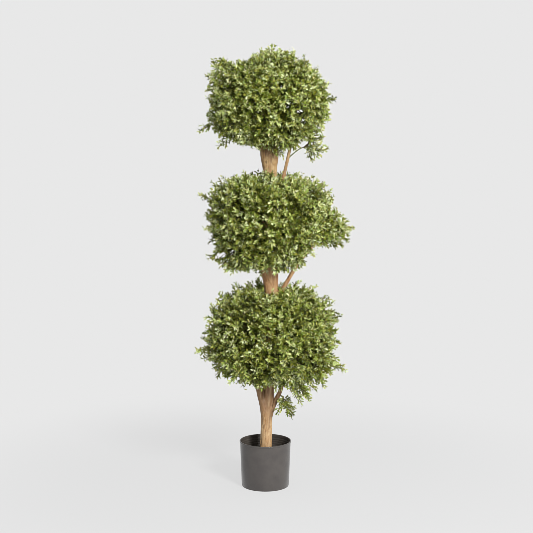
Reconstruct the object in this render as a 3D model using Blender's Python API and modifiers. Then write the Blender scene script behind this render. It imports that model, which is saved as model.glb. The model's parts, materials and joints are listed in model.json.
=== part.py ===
"""Potted triple ball topiary, an artificial patio tree, as separate solids.

A turned pot holds a weighted fill. A bare wooden trunk stands on the fill and runs up through three
clipped balls of small leaves. It forks under the lowest ball and sends a thin bough past each gap.
Every ball, and each loose tuft beside one, is a mass of its own: a stem, twigs that stand out of it
by a seeded rule, and leaves fused to the twigs. A ball is dense, so its twigs stand out of a core.

Metres, +Z up, -Y to the front. The origin is the middle of the pot's flat underside.
Run with: blender --background --python part.py
"""

import math
import random
from dataclasses import dataclass

import bmesh
import bpy
from mathutils import Matrix, Vector

# ---------------------------------------------------------------- driving sizes
FIT_GAP = 0.0003  # clear distance between pieces that touch on the real thing
TINY = 0.00001  # points nearer than this are one point

POT_HEIGHT = 0.158
POT_RIM_RADIUS = 0.0883
POT_BASE_RADIUS = 0.0812
POT_WALL = 0.0026
POT_FLOOR = 0.005
POT_LIP_OUT = 0.0012  # how far the rolled rim stands out of the wall
POT_LIP_HEIGHT = 0.006
POT_LIP_ROUND = 0.0010
POT_FOOT_CHAMFER = 0.0022
POT_STEPS = 36

FILL_TOP = 0.116
FILL_CROWN = 0.004  # the fill is a little higher round the trunk
FILL_FLAT_RADIUS = 0.032  # flat patch that the trunk's cut stands on
FILL_SLOPE_END_RADIUS = 0.052
FILL_SLOPE_END_RISE = 0.0012

TRUNK_FOOT = FILL_TOP + FILL_CROWN + FIT_GAP
TRUNK_RING_SPACING = 0.045
TRUNK_SIDES = 12
TRUNK_FLUTES = 3
GROOVE_FACES = math.radians(-90)  # one groove between the fused stems faces the front

LIMB_SIDES_RESOLUTION = 2  # a curve's bevel_resolution, 8 sides
LIMB_RINGS = 4  # a curve's resolution_u between two points
BEADS_PER_SPAN = 24  # points between two of a limb's that leaves keep clear of
CHANNEL = 0.007  # how far a ball's core keeps from the trunk and the boughs in it
TWIG_TESTS = 10  # points along a twig that are tested for room
LIMB_CLEAR = 0.0015  # how far leaves and twigs keep from them
NEIGHBOUR_CLEAR = 0.003  # how far a mass keeps from its neighbour's space
OUTLINE_SLACK = 1.02  # how far past a ball's outline a leaf may reach, as a share
STRAY_SPREAD = math.radians(10)  # the way round a longer twig that its leaves may use
GOLDEN_ANGLE = math.pi * (3 - math.sqrt(5))
WAY_SHAKE = 0.2  # radians that a ball's twig may turn off the spiral

CORE_DEPTH = 0.062  # how far a ball's core lies under its outline
LEAF_LENGTH = 0.056
LEAF_WIDTH = 0.034
LEAF_THICKNESS = 0.0018
LEAF_WIDEST = 0.45  # how far along a leaf it is widest
LEAF_TEST_ALONG = (0.4, 0.7, 1.0)  # where a leaf's blade is tested for room, and how far aside
LEAF_TEST_ASIDE = 0.4
LEAF_ROOT_OFF_AXIS = 0.0004  # a leaf's root end lies in its twig, this far from the twig's middle
LEAF_SPACING = 0.0135  # the least distance between the blades of two leaves
LEAF_LEAN = math.radians(58)  # between a leaf and its twig, and how far it varies
LEAF_LEAN_SPREAD = math.radians(10)
TWIG_RADIUS = 0.0042
TWIG_TIP_RADIUS = 0.0036
TWIG_WHORL = 0.85  # how far along a twig its ring of leaves is, and a longer twig's second ring
STRAY_WHORL = 0.45
TWIG_SUNK = 0.012  # how deep a twig's root lies in the core
STEM_RADIUS = 0.0048
STEM_INTO_CORE = 0.030
STEM_ROOT_ZONE = 0.012  # a tuft's stem may be this near its bough's tip
TUFT_STEM_PAST_MIDDLE = 0.35  # of the tuft's smallest radius
END_LEAF_SCALE = 0.75
BRANCH_LENGTH = 0.044  # a side twig on a ball, and its angle to the twig that bears it
BRANCH_ANGLE = math.radians(62)
BRANCH_PLACE = 0.2  # how far along its bearer a ball's side twig leaves it
TUFT_TWIG_LENGTH = 0.030
TUFT_LEAF_SCALE = 0.8
TUFT_STEM_WHORL = 0.9
TUFT_TWIG_WHORL = 0.8
TUFT_FIRST_TWIG = 0.3  # how far along its stem a tuft's first and last side twigs are
TUFT_LAST_TWIG = 0.8


@dataclass
class Station:
    """The trunk's middle, its radius and the depth of its flutes at one height."""

    height: float
    x: float
    y: float
    radius: float
    flute: float


# The trunk swells where stems part from it under each ball, and is slim again above the ball.
TRUNK = [
    Station(TRUNK_FOOT, 0.0015, 0.000, 0.0206, 0.02),
    Station(0.235, 0.0045, 0.001, 0.0193, 0.03),
    Station(0.325, 0.0100, 0.002, 0.0198, 0.08),
    Station(0.500, 0.0150, 0.004, 0.0238, 0.05),
    Station(0.665, 0.0205, 0.001, 0.0225, 0.05),
    Station(0.775, 0.0135, -0.002, 0.0302, 0.12),
    Station(0.900, 0.0145, 0.000, 0.0245, 0.06),
    Station(1.070, 0.0155, 0.003, 0.0224, 0.05),
    Station(1.140, 0.0135, 0.001, 0.0294, 0.12),
    Station(1.240, 0.0120, 0.000, 0.0200, 0.06),
    Station(1.370, 0.0120, 0.002, 0.0090, 0.00),
]


@dataclass
class Limb:
    """A bough: its way as (x, y, z, radius) from inside the limb that bears it, to its tip."""

    name: str
    way: list
    born_by: str = "trunk"


LIMBS = [
    Limb(
        "lower_left_bough",
        [
            (0.0040, -0.002, 0.232, 0.0125),
            (-0.0080, -0.009, 0.285, 0.0118),
            (-0.0200, -0.013, 0.330, 0.0102),
            (-0.0330, -0.018, 0.378, 0.0088),
        ],
    ),
    Limb(
        "lower_right_bough",
        [
            (0.0060, -0.002, 0.212, 0.0105),
            (0.0120, -0.005, 0.248, 0.0100),
            (0.0340, -0.009, 0.297, 0.0086),
            (0.0530, -0.013, 0.335, 0.0072),
            (0.0610, -0.015, 0.366, 0.0062),
        ],
    ),
    Limb(
        "lower_right_twig",
        [
            (0.0430, -0.010, 0.314, 0.0030),
            (0.0530, -0.017, 0.321, 0.0030),
            (0.0600, -0.022, 0.314, 0.0030),
        ],
        born_by="lower_right_bough",
    ),
    Limb(
        "middle_right_bough",
        [
            (0.0200, -0.002, 0.622, 0.0090),
            (0.0555, -0.009, 0.677, 0.0074),
            (0.0986, -0.013, 0.7555, 0.0068),
            (0.1370, -0.013, 0.806, 0.0050),
            (0.1680, -0.010, 0.842, 0.0040),
        ],
    ),
    Limb(
        "upper_right_bough",
        [
            (0.0150, -0.001, 0.905, 0.0078),
            (0.0430, -0.008, 0.990, 0.0068),
            (0.0630, -0.010, 1.070, 0.0062),
            (0.0800, -0.010, 1.146, 0.0055),
            (0.0870, -0.009, 1.182, 0.0050),
        ],
    ),
    Limb(
        "upper_right_twig",
        [
            (0.0770, -0.010, 1.1250, 0.0026),
            (0.0980, -0.014, 1.1450, 0.0026),
            (0.1150, -0.017, 1.1560, 0.0026),
        ],
        born_by="upper_right_bough",
    ),
]


@dataclass
class Lobe:
    """A place where a ball's outline stands out or falls back."""

    direction: tuple
    gain: float  # how far, as a share of the reach
    width: float  # radians


@dataclass
class Ball:
    """A clipped ball of foliage round the trunk."""

    name: str
    centre: tuple
    reaches: list  # the outline's distance at even steps from straight down to straight up
    lobes: list
    seed: int
    twigs: int
    strays: list  # the furthest points of longer twigs, past the outline


BALLS = [
    Ball(
        "lower_ball",
        (0.020, 0.0, 0.518),
        [0.150, 0.162, 0.178, 0.196, 0.232, 0.234, 0.224, 0.225, 0.226, 0.216, 0.203, 0.165, 0.140],
        [
            Lobe((0.82, 0.0, -0.57), 0.20, 0.25),
            Lobe((-0.68, 0.0, -0.73), -0.21, 0.30),
            Lobe((-0.96, 0.0, -0.28), 0.05, 0.20),
            Lobe((-0.96, 0.0, 0.28), -0.04, 0.22),
            Lobe((-0.77, 0.0, 0.64), -0.05, 0.22),
            Lobe((0.98, 0.0, 0.18), 0.04, 0.16),
            Lobe((0.90, 0.0, 0.44), -0.05, 0.20),
        ],
        seed=31,
        twigs=23,
        strays=[
            (-0.236, -0.020, 0.468),
            (0.276, -0.020, 0.404),
            (0.266, 0.040, 0.584),
            (0.154, -0.090, 0.312),
            (0.124, -0.085, 0.302),
            (0.212, 0.060, 0.328),
            (-0.175, 0.050, 0.372),
            (0.060, -0.236, 0.470),
            (-0.040, 0.236, 0.500),
        ],
    ),
    Ball(
        "middle_ball",
        (0.014, 0.0, 0.912),
        [0.150, 0.165, 0.185, 0.200, 0.212, 0.206, 0.212, 0.220, 0.227, 0.206, 0.180, 0.155, 0.135],
        [
            Lobe((0.83, 0.0, -0.56), -0.44, 0.37),
            Lobe((-0.77, 0.0, 0.64), -0.02, 0.30),
            Lobe((0.02, -0.55, 0.83), -0.10, 0.28),
            Lobe((-0.98, 0.0, -0.17), -0.05, 0.20),
            Lobe((-0.56, 0.0, -0.83), 0.09, 0.22),
        ],
        seed=57,
        twigs=21,
        strays=[
            (-0.226, -0.020, 1.004),
            (-0.194, -0.060, 0.790),
            (-0.112, -0.100, 0.748),
            (0.210, 0.080, 0.996),
        ],
    ),
    Ball(
        "upper_ball",
        (0.008, 0.0, 1.314),
        [0.150, 0.158, 0.168, 0.186, 0.204, 0.208, 0.202, 0.202, 0.194, 0.185, 0.176, 0.171, 0.170],
        [
            Lobe((-0.47, 0.0, 0.88), -0.20, 0.24),
            Lobe((-0.46, -0.44, 0.77), -0.18, 0.28),
            Lobe((-0.46, 0.44, 0.77), -0.18, 0.28),
            Lobe((-0.19, 0.0, 0.98), 0.05, 0.14),
            Lobe((-0.82, 0.0, 0.57), 0.13, 0.20),
            Lobe((-0.94, 0.0, 0.34), 0.05, 0.18),
            Lobe((-0.74, 0.0, -0.67), -0.14, 0.28),
            Lobe((-1.0, 0.0, 0.0), -0.09, 0.20),
            Lobe((0.96, 0.0, 0.28), -0.04, 0.45),
            Lobe((0.24, -0.30, -0.92), 0.18, 0.20),
        ],
        seed=83,
        twigs=23,
        strays=[
            (-0.226, -0.030, 1.212),
            (-0.158, -0.080, 1.158),
            (0.240, 0.020, 1.318),
            (0.022, -0.010, 1.500),
            (-0.160, 0.020, 1.450),
        ],
    ),
]


@dataclass
class Tuft:
    """A loose tuft on a bough's tip, with its own space and no core."""

    name: str
    bough: str
    centre: tuple
    radii: tuple
    seed: int
    side_twigs: int


TUFTS = [
    Tuft("lower_hanging_tuft", "lower_right_twig", (0.068, -0.027, 0.282), (0.038, 0.038, 0.047), 5, 5),
    Tuft("middle_right_tuft", "middle_right_bough", (0.217, -0.006, 0.889), (0.082, 0.078, 0.074), 9, 8),
    Tuft("upper_right_spray", "upper_right_twig", (0.160, -0.018, 1.163), (0.052, 0.046, 0.054), 13, 6),
]


# ---------------------------------------------------------------- scene and materials
def clear_scene():
    """Removes every object that the scene starts with."""
    for obj in list(bpy.data.objects):
        bpy.data.objects.remove(obj)


def material(name, red, green, blue, roughness):
    """A Principled BSDF of one colour, given as 0 to 1 linear values."""
    made = bpy.data.materials.new(name)
    made.use_nodes = True
    shader = made.node_tree.nodes["Principled BSDF"]
    shader.inputs["Base Color"].default_value = (red, green, blue, 1.0)
    shader.inputs["Roughness"].default_value = roughness
    shader.inputs["Metallic"].default_value = 0.0
    return made


def new_collection(name):
    made = bpy.data.collections.new(name)
    bpy.context.scene.collection.children.link(made)
    return made


def new_object(name, mesh, collection, finish=None):
    made = bpy.data.objects.new(name, mesh)
    collection.objects.link(made)
    if finish:
        made.data.materials.append(finish)
    return made


def mesh_from(name, build):
    """A mesh that the function build fills through a bmesh."""
    mesh = bpy.data.meshes.new(name)
    shape = bmesh.new()
    build(shape)
    bmesh.ops.recalc_face_normals(shape, faces=shape.faces)
    shape.to_mesh(mesh)
    shape.free()
    return mesh


def evaluated_mesh(obj, weld=0.0):
    """The object's mesh with its modifiers applied and, if asked, its doubles merged."""
    graph = bpy.context.evaluated_depsgraph_get()
    mesh = bpy.data.meshes.new_from_object(obj.evaluated_get(graph))
    if weld:
        shape = bmesh.new()
        shape.from_mesh(mesh)
        bmesh.ops.remove_doubles(shape, verts=shape.verts, dist=weld)
        bmesh.ops.recalc_face_normals(shape, faces=shape.faces)
        shape.to_mesh(mesh)
        shape.free()
    return mesh


def subtract(obj, cutters):
    """Cuts the cutters from the object and applies the cuts."""
    for cutter in cutters:
        cut = obj.modifiers.new("cut", "BOOLEAN")
        cut.operation = "DIFFERENCE"
        cut.solver = "EXACT"
        cut.object = cutter
    mesh = evaluated_mesh(obj)
    obj.modifiers.clear()
    obj.data = mesh


def smooth(obj, angle=35):
    obj.data.shade_smooth()
    obj.data.set_sharp_from_angle(angle=math.radians(angle))


# ---------------------------------------------------------------- pot and fill
def turned(name, profile, collection, finish):
    """A profile of (radius, height) points turned about Z. It runs down the piece's outer side."""
    def build(shape):
        points = [shape.verts.new((radius, 0.0, height)) for radius, height in profile]
        for first, second in zip(points, points[1:]):
            shape.edges.new((first, second))

    made = new_object(name, mesh_from(name, build), collection, finish)
    screw = made.modifiers.new("turn", "SCREW")
    screw.axis = "Z"
    screw.steps = POT_STEPS
    screw.render_steps = POT_STEPS
    screw.use_merge_vertices = True
    screw.merge_threshold = TINY
    made.data = evaluated_mesh(made, weld=TINY)
    made.modifiers.clear()
    smooth(made)
    return made


def pot_wall_radius(height):
    """The outside radius of the pot's plain wall at a height."""
    return POT_BASE_RADIUS + (POT_RIM_RADIUS - POT_LIP_OUT - POT_BASE_RADIUS) * height / POT_HEIGHT


def make_pot(collection, finish):
    """The pot: a tapered wall with a rolled lip, a chamfered foot and a flat underside."""
    lip_bottom = POT_HEIGHT - POT_LIP_HEIGHT
    profile = [
        (0.0, POT_FLOOR),
        (pot_wall_radius(POT_FLOOR) - POT_WALL, POT_FLOOR),
        (pot_wall_radius(POT_HEIGHT) - POT_WALL, POT_HEIGHT - POT_LIP_ROUND),
        (pot_wall_radius(POT_HEIGHT) - POT_WALL + POT_LIP_ROUND, POT_HEIGHT),
        (POT_RIM_RADIUS - POT_LIP_ROUND, POT_HEIGHT),
        (POT_RIM_RADIUS, POT_HEIGHT - POT_LIP_ROUND),
        (POT_RIM_RADIUS, lip_bottom + POT_LIP_ROUND),
        (pot_wall_radius(lip_bottom), lip_bottom),
        (pot_wall_radius(POT_FOOT_CHAMFER), POT_FOOT_CHAMFER),
        (POT_BASE_RADIUS - POT_FOOT_CHAMFER, 0.0),
        (0.0, 0.0),
    ]
    return turned("pot", profile, collection, finish)


def make_fill(collection, finish):
    """The weighted fill in the pot, with its flat patch under the trunk."""
    bottom = POT_FLOOR + FIT_GAP
    gap = POT_WALL + FIT_GAP
    profile = [
        (0.0, FILL_TOP + FILL_CROWN),
        (FILL_FLAT_RADIUS, FILL_TOP + FILL_CROWN),
        (FILL_SLOPE_END_RADIUS, FILL_TOP + FILL_SLOPE_END_RISE),
        (pot_wall_radius(FILL_TOP) - gap, FILL_TOP),
        (pot_wall_radius(bottom) - gap, bottom),
        (0.0, bottom),
    ]
    return turned("pot_fill", profile, collection, finish)


# ---------------------------------------------------------------- trunk and boughs
def trunk_at(height):
    """(middle, radius, flute depth) of the trunk at a height, eased between its stations."""
    height = min(max(height, TRUNK[0].height), TRUNK[-1].height)
    for low, high in zip(TRUNK, TRUNK[1:]):
        if height <= high.height:
            break
    share = (height - low.height) / (high.height - low.height)
    ease = share * share * (3 - 2 * share)

    def between(one, other):
        return one + (other - one) * ease

    middle = Vector((between(low.x, high.x), between(low.y, high.y), height))
    return middle, between(low.radius, high.radius), between(low.flute, high.flute)


def trunk_ring(height, grown):
    """The trunk's fluted outline at a height, grown outwards by a distance."""
    middle, radius, flute = trunk_at(height)
    ring = []
    for side in range(TRUNK_SIDES):
        angle = 2 * math.pi * side / TRUNK_SIDES
        lobe = -flute * math.cos(TRUNK_FLUTES * (angle - GROOVE_FACES))
        reach = radius * (1 + lobe) + grown
        ring.append(middle + Vector((reach * math.cos(angle), reach * math.sin(angle), 0.0)))
    return ring


def trunk_mesh(name, grown=0.0, longer=0.0):
    """The trunk's loft, or a cutter that is that much fatter and longer at both ends."""
    bottom, top = TRUNK[0].height, TRUNK[-1].height
    count = round((top - bottom) / TRUNK_RING_SPACING)
    heights = [bottom + (top - bottom) * step / count for step in range(count + 1)]

    def build(shape):
        rings = [trunk_ring(height, grown) for height in heights]
        for point in rings[0]:
            point.z -= longer
        for point in rings[-1]:
            point.z += longer
        loops = [[shape.verts.new(point) for point in ring] for ring in rings]
        for below, above in zip(loops, loops[1:]):
            for side in range(TRUNK_SIDES):
                after = (side + 1) % TRUNK_SIDES
                shape.faces.new((below[side], below[after], above[after], above[side]))
        shape.faces.new(reversed(loops[0]))
        shape.faces.new(loops[-1])

    return mesh_from(name, build)


def limb_object(name, way, collection, grown=0.0, finish=None):
    """A tapering limb along a smooth curve, as a mesh with its caps welded on."""
    curve = bpy.data.curves.new(name, "CURVE")
    curve.dimensions = "3D"
    curve.bevel_depth = 1.0
    curve.bevel_resolution = LIMB_SIDES_RESOLUTION
    curve.use_fill_caps = True
    curve.resolution_u = LIMB_RINGS
    spline = curve.splines.new("NURBS")
    spline.points.add(len(way) - 1)
    for point, (x, y, z, radius) in zip(spline.points, way):
        point.co = (x, y, z, 1.0)
        point.radius = radius + grown
    spline.order_u = 3
    spline.use_endpoint_u = True
    drawn = bpy.data.objects.new(name + "_line", curve)
    collection.objects.link(drawn)
    mesh = evaluated_mesh(drawn, weld=TINY)
    bpy.data.objects.remove(drawn)
    return new_object(name, mesh, collection, finish)


def limb_beads(limb):
    """Beads (centre, radius) strung along a limb's way, for keeping leaves off it."""
    beads = []
    for start, end in zip(limb.way, limb.way[1:]):
        for step in range(BEADS_PER_SPAN + 1):
            share = step / BEADS_PER_SPAN
            x, y, z, radius = (a + (b - a) * share for a, b in zip(start, end))
            beads.append((Vector((x, y, z)), radius))
    return beads


# ---------------------------------------------------------------- spaces
def ball_reach(ball, direction):
    """How far a ball's outline lies from its centre in a direction."""
    direction = direction.normalized()
    rise = math.asin(max(-1.0, min(1.0, direction.z))) / math.pi + 0.5
    place = rise * (len(ball.reaches) - 1)
    low = min(int(place), len(ball.reaches) - 2)
    reach = ball.reaches[low] + (ball.reaches[low + 1] - ball.reaches[low]) * (place - low)
    gain = 1.0
    for lobe in ball.lobes:
        angle = direction.angle(Vector(lobe.direction))
        gain += lobe.gain * math.exp(-((angle / lobe.width) ** 2))
    return reach * gain


def share_in_ball(ball, point):
    """0 at a ball's centre, 1 on its outline."""
    offset = point - Vector(ball.centre)
    if offset.length < 1e-6:
        return 0.0
    return offset.length / ball_reach(ball, offset.normalized())


def core_reach(ball, direction):
    """How far a ball's core reaches from its centre in a direction."""
    return ball_reach(ball, direction) - CORE_DEPTH


def in_tuft(tuft, point, grown=0.0):
    """True if the point lies in a tuft's space, grown by a distance."""
    return (
        sum(
            ((value - middle) / (radius + grown)) ** 2
            for value, middle, radius in zip(point, tuft.centre, tuft.radii)
        )
        < 1
    )


class Obstacles:
    """The trunk and boughs, as something that twigs and leaves keep clear of."""

    def __init__(self):
        self.beads = []
        for limb in LIMBS:
            self.beads += limb_beads(limb)

    def clear_of(self, point, clearance):
        """True if the point is that far from every limb."""
        if point.z > TRUNK_FOOT:
            middle, radius, flute = trunk_at(point.z)
            level = Vector((point.x - middle.x, point.y - middle.y, 0.0)).length
            if point.z < TRUNK[-1].height + clearance and level < radius * (1 + flute) + clearance:
                return False
        return all((point - bead).length > radius + clearance for bead, radius in self.beads)


# ---------------------------------------------------------------- leaves and twigs
def frame_along(direction, turn):
    """A rotation that takes +X to the direction, turned about it."""
    return direction.to_track_quat("X", "Z").to_matrix().to_4x4() @ Matrix.Rotation(turn, 4, "X")


def leaf_mesh():
    """One leaf of eight faces along +X, from its sunk root to its tip."""
    def build(shape):
        bmesh.ops.create_uvsphere(shape, u_segments=4, v_segments=2, radius=1.0)
        for vert in shape.verts:
            x, y, z = vert.co
            shift = 0.0 if abs(x) > 0.5 else -0.06
            vert.co = (
                (x + shift) * LEAF_LENGTH / 2 + LEAF_LENGTH / 2 + LEAF_ROOT_OFF_AXIS,
                y * LEAF_WIDTH / 2,
                z * LEAF_THICKNESS / 2,
            )

    return mesh_from("leaf", build)


def twig_mesh(length, root_radius, tip_radius):
    """A three-sided twig along +X from the origin."""
    def build(shape):
        bmesh.ops.create_cone(
            shape,
            cap_ends=True,
            segments=3,
            radius1=root_radius,
            radius2=tip_radius,
            depth=length,
            matrix=Matrix.Rotation(math.radians(90), 4, "Y") @ Matrix.Translation((0, 0, length / 2)),
        )

    return mesh_from("twig", build)


class Mass:
    """One mass of foliage: collects its twigs and leaves, and fuses them into one solid."""

    def __init__(self, name, inside, leaf, seed):
        self.name = name
        self.inside = inside
        self.leaf = leaf
        self.rng = random.Random(seed)
        self.parts = new_collection(name + "_parts")
        self.blades = []

    def add(self, mesh, place):
        made = new_object(self.name + "_piece", mesh, self.parts)
        made.matrix_world = place
        return made

    def twig(self, root, direction, length, root_radius, sunk=0.0):
        """Adds a twig if its whole length has room, and gives its frame at the root, or None."""
        for step in range(TWIG_TESTS + 1):
            along = (length + sunk) * step / TWIG_TESTS - sunk
            if not self.inside(root + direction * along, root_radius):
                return None
        turned_frame = frame_along(direction, self.rng.uniform(0, math.tau))
        mesh = twig_mesh(length + sunk, root_radius, TWIG_TIP_RADIUS)
        self.add(mesh, Matrix.Translation(root - direction * sunk) @ turned_frame)
        return Matrix.Translation(root) @ turned_frame

    def leaf_on(self, place):
        """Adds a leaf unless its blade would leave the space, touch a limb or crowd another."""
        blade = []
        for along in LEAF_TEST_ALONG:
            width = LEAF_WIDTH * (1 - abs(along - LEAF_WIDEST) / (1 - LEAF_WIDEST))
            for side in (-LEAF_TEST_ASIDE, 0.0, LEAF_TEST_ASIDE):
                blade.append(place @ Vector((LEAF_LENGTH * along, width * side, 0.0)))
        if not all(self.inside(point) for point in blade):
            return
        for point in blade:
            if any((point - other).length < LEAF_SPACING for other in self.blades):
                return
        self.blades += blade
        self.add(self.leaf, place)

    def whorl(self, twig_frame, along, scale=1.0):
        """Adds three leaves round a twig, one out of each of its three faces."""
        for side in range(3):
            azimuth = math.tau * side / 3
            lean = LEAF_LEAN + self.rng.uniform(-LEAF_LEAN_SPREAD, LEAF_LEAN_SPREAD)
            self.leaf_on(
                twig_frame
                @ Matrix.Translation((along, 0, 0))
                @ Matrix.Rotation(azimuth, 4, "X")
                @ Matrix.Rotation(-lean, 4, "Y")
                @ Matrix.Scale(scale, 4)
            )

    def end_leaf(self, twig_frame, length, scale=1.0):
        """Adds the leaf that ends a twig."""
        inset = TWIG_RADIUS * 0.5
        place = Matrix.Translation((length - inset, 0, 0)) @ Matrix.Scale(scale * END_LEAF_SCALE, 4)
        self.leaf_on(twig_frame @ place)

    def fuse(self, base, finish):
        """Joins every piece to the base by one Boolean union, and keeps the one outer body."""
        union = base.modifiers.new("union", "BOOLEAN")
        union.operation = "UNION"
        union.operand_type = "COLLECTION"
        union.solver = "MANIFOLD"
        union.collection = self.parts
        bpy.context.view_layer.update()
        base.data = evaluated_mesh(base)
        base.modifiers.clear()
        keep_outer_body(base.data)
        base.data.materials.clear()
        base.data.materials.append(finish)
        for piece in list(self.parts.objects):
            bpy.data.objects.remove(piece)
        bpy.data.collections.remove(self.parts)
        return base


def keep_outer_body(mesh):
    """Fills sealed hollows and drops loose scraps: only the largest shell stays."""
    shape = bmesh.new()
    shape.from_mesh(mesh)
    unseen = set(shape.verts)
    shells = []
    while unseen:
        stack, shell = [unseen.pop()], set()
        while stack:
            vert = stack.pop()
            shell.add(vert)
            for edge in vert.link_edges:
                other = edge.other_vert(vert)
                if other in unseen:
                    unseen.discard(other)
                    stack.append(other)
        shells.append(shell)
    shells.sort(key=len, reverse=True)
    for shell in shells[1:]:
        bmesh.ops.delete(shape, geom=list(shell), context="VERTS")
    shape.to_mesh(mesh)
    shape.free()


# ---------------------------------------------------------------- balls
def ball_ways(ball):
    """The seeded rule for a ball's twigs: directions on a golden spiral, each shaken a little."""
    rng = random.Random(ball.seed)
    ways = []
    for index in range(ball.twigs):
        up = 1 - 2 * (index + 0.5) / ball.twigs
        level = math.sqrt(1 - up * up)
        angle = GOLDEN_ANGLE * index + rng.uniform(-WAY_SHAKE, WAY_SHAKE)
        way = Vector((level * math.cos(angle), level * math.sin(angle), up))
        ways.append(way.normalized())
    return ways


def stem_to_trunk(mass, centre, fit_cutter):
    """A ball's stem: from the trunk's side, through the channel, into the core."""
    middle, radius, _ = trunk_at(centre.z)
    outward = Vector((-1.0, 0.0, 0.0))
    stem = mass.add(
        twig_mesh(radius + CHANNEL + STEM_INTO_CORE, STEM_RADIUS, STEM_RADIUS), Matrix.Identity(4)
    )
    stem.data.transform(Matrix.Translation(middle) @ frame_along(outward, 0.0))
    subtract(stem, [fit_cutter])


def make_ball(ball, channels, fit_cutter, obstacles, leaf, finish, collection):
    """A ball of foliage: a core cut clear of the limbs, a stem to the trunk, twigs and leaves."""
    centre = Vector(ball.centre)
    strays = [Vector(stray) - centre for stray in ball.strays]

    def inside(point, thickness=0.0):
        """In this ball's outline or a stray twig's way, off the limbs and out of the tufts."""
        if not obstacles.clear_of(point, LIMB_CLEAR + thickness):
            return False
        if any(in_tuft(tuft, point, NEIGHBOUR_CLEAR) for tuft in TUFTS):
            return False
        if share_in_ball(ball, point) < OUTLINE_SLACK:
            return True
        offset = point - centre
        return any(
            offset.length < stray.length and offset.angle(stray) < STRAY_SPREAD for stray in strays
        )

    def build_core(shape):
        bmesh.ops.create_icosphere(shape, subdivisions=3, radius=1.0)
        for vert in shape.verts:
            direction = vert.co.normalized()
            vert.co = centre + direction * core_reach(ball, direction)

    core = new_object(ball.name, mesh_from(ball.name, build_core), collection)
    subtract(core, channels)
    mass = Mass(ball.name, inside, leaf, ball.seed)
    stem_to_trunk(mass, centre, fit_cutter)

    tips = [direction * ball_reach(ball, direction) for direction in ball_ways(ball)]
    for tip in strays + tips:
        direction = tip.normalized()
        start = centre + direction * core_reach(ball, direction)
        length = tip.length - LEAF_LENGTH * END_LEAF_SCALE - (start - centre).length
        frame = mass.twig(start, direction, length, TWIG_RADIUS, sunk=TWIG_SUNK)
        if not frame:
            continue
        mass.end_leaf(frame, length)
        mass.whorl(frame, length * TWIG_WHORL)
        if tip in strays and length > LEAF_LENGTH:
            mass.whorl(frame, length * STRAY_WHORL)
        side = Matrix.Rotation(mass.rng.uniform(0, math.tau), 3, direction) @ direction.orthogonal()
        branch = direction * math.cos(BRANCH_ANGLE) + side.normalized() * math.sin(BRANCH_ANGLE)
        branch_start = start + direction * length * BRANCH_PLACE
        branch_frame = mass.twig(branch_start, branch, BRANCH_LENGTH, TWIG_RADIUS)
        if branch_frame:
            mass.end_leaf(branch_frame, BRANCH_LENGTH)
            mass.whorl(branch_frame, BRANCH_LENGTH * TWIG_WHORL)
    return mass.fuse(core, finish)


# ---------------------------------------------------------------- tufts
def make_tuft(tuft, bough_cutter, obstacles, leaf, finish, collection):
    """A loose tuft: one stem from its bough's tip, side twigs in turn along it, and leaves."""
    bough = next(limb for limb in LIMBS if limb.name == tuft.bough)
    root = Vector(bough.way[-1][:3])
    centre = Vector(tuft.centre)
    far = centre + (centre - root).normalized() * min(tuft.radii) * TUFT_STEM_PAST_MIDDLE
    stem_length = (far - root).length
    stem_way = (far - root).normalized()

    def inside(point, thickness=0.0):
        at_stem = (point - root).length < STEM_ROOT_ZONE
        return in_tuft(tuft, point) and (at_stem or obstacles.clear_of(point, LIMB_CLEAR + thickness))

    mass = Mass(tuft.name, inside, leaf, tuft.seed)
    stem_frame = Matrix.Translation(root) @ frame_along(stem_way, 0.0)
    stem = new_object(tuft.name, twig_mesh(stem_length, STEM_RADIUS, TWIG_RADIUS), collection)
    stem.data.transform(stem_frame)
    subtract(stem, [bough_cutter])
    mass.end_leaf(stem_frame, stem_length, TUFT_LEAF_SCALE)
    mass.whorl(stem_frame, stem_length * TUFT_STEM_WHORL, TUFT_LEAF_SCALE)
    for index in range(tuft.side_twigs):
        step = index / (tuft.side_twigs - 1)
        share = TUFT_FIRST_TWIG + (TUFT_LAST_TWIG - TUFT_FIRST_TWIG) * step
        turn = GOLDEN_ANGLE * index
        side = Matrix.Rotation(turn, 3, stem_way) @ stem_way.orthogonal()
        branch = stem_way * math.cos(BRANCH_ANGLE) + side.normalized() * math.sin(BRANCH_ANGLE)
        start = root + stem_way * stem_length * share
        frame = mass.twig(start, branch, TUFT_TWIG_LENGTH, TWIG_RADIUS)
        if frame:
            mass.end_leaf(frame, TUFT_TWIG_LENGTH, TUFT_LEAF_SCALE)
            mass.whorl(frame, TUFT_TWIG_LENGTH * TUFT_TWIG_WHORL, TUFT_LEAF_SCALE)
    return mass.fuse(stem, finish)


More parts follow.
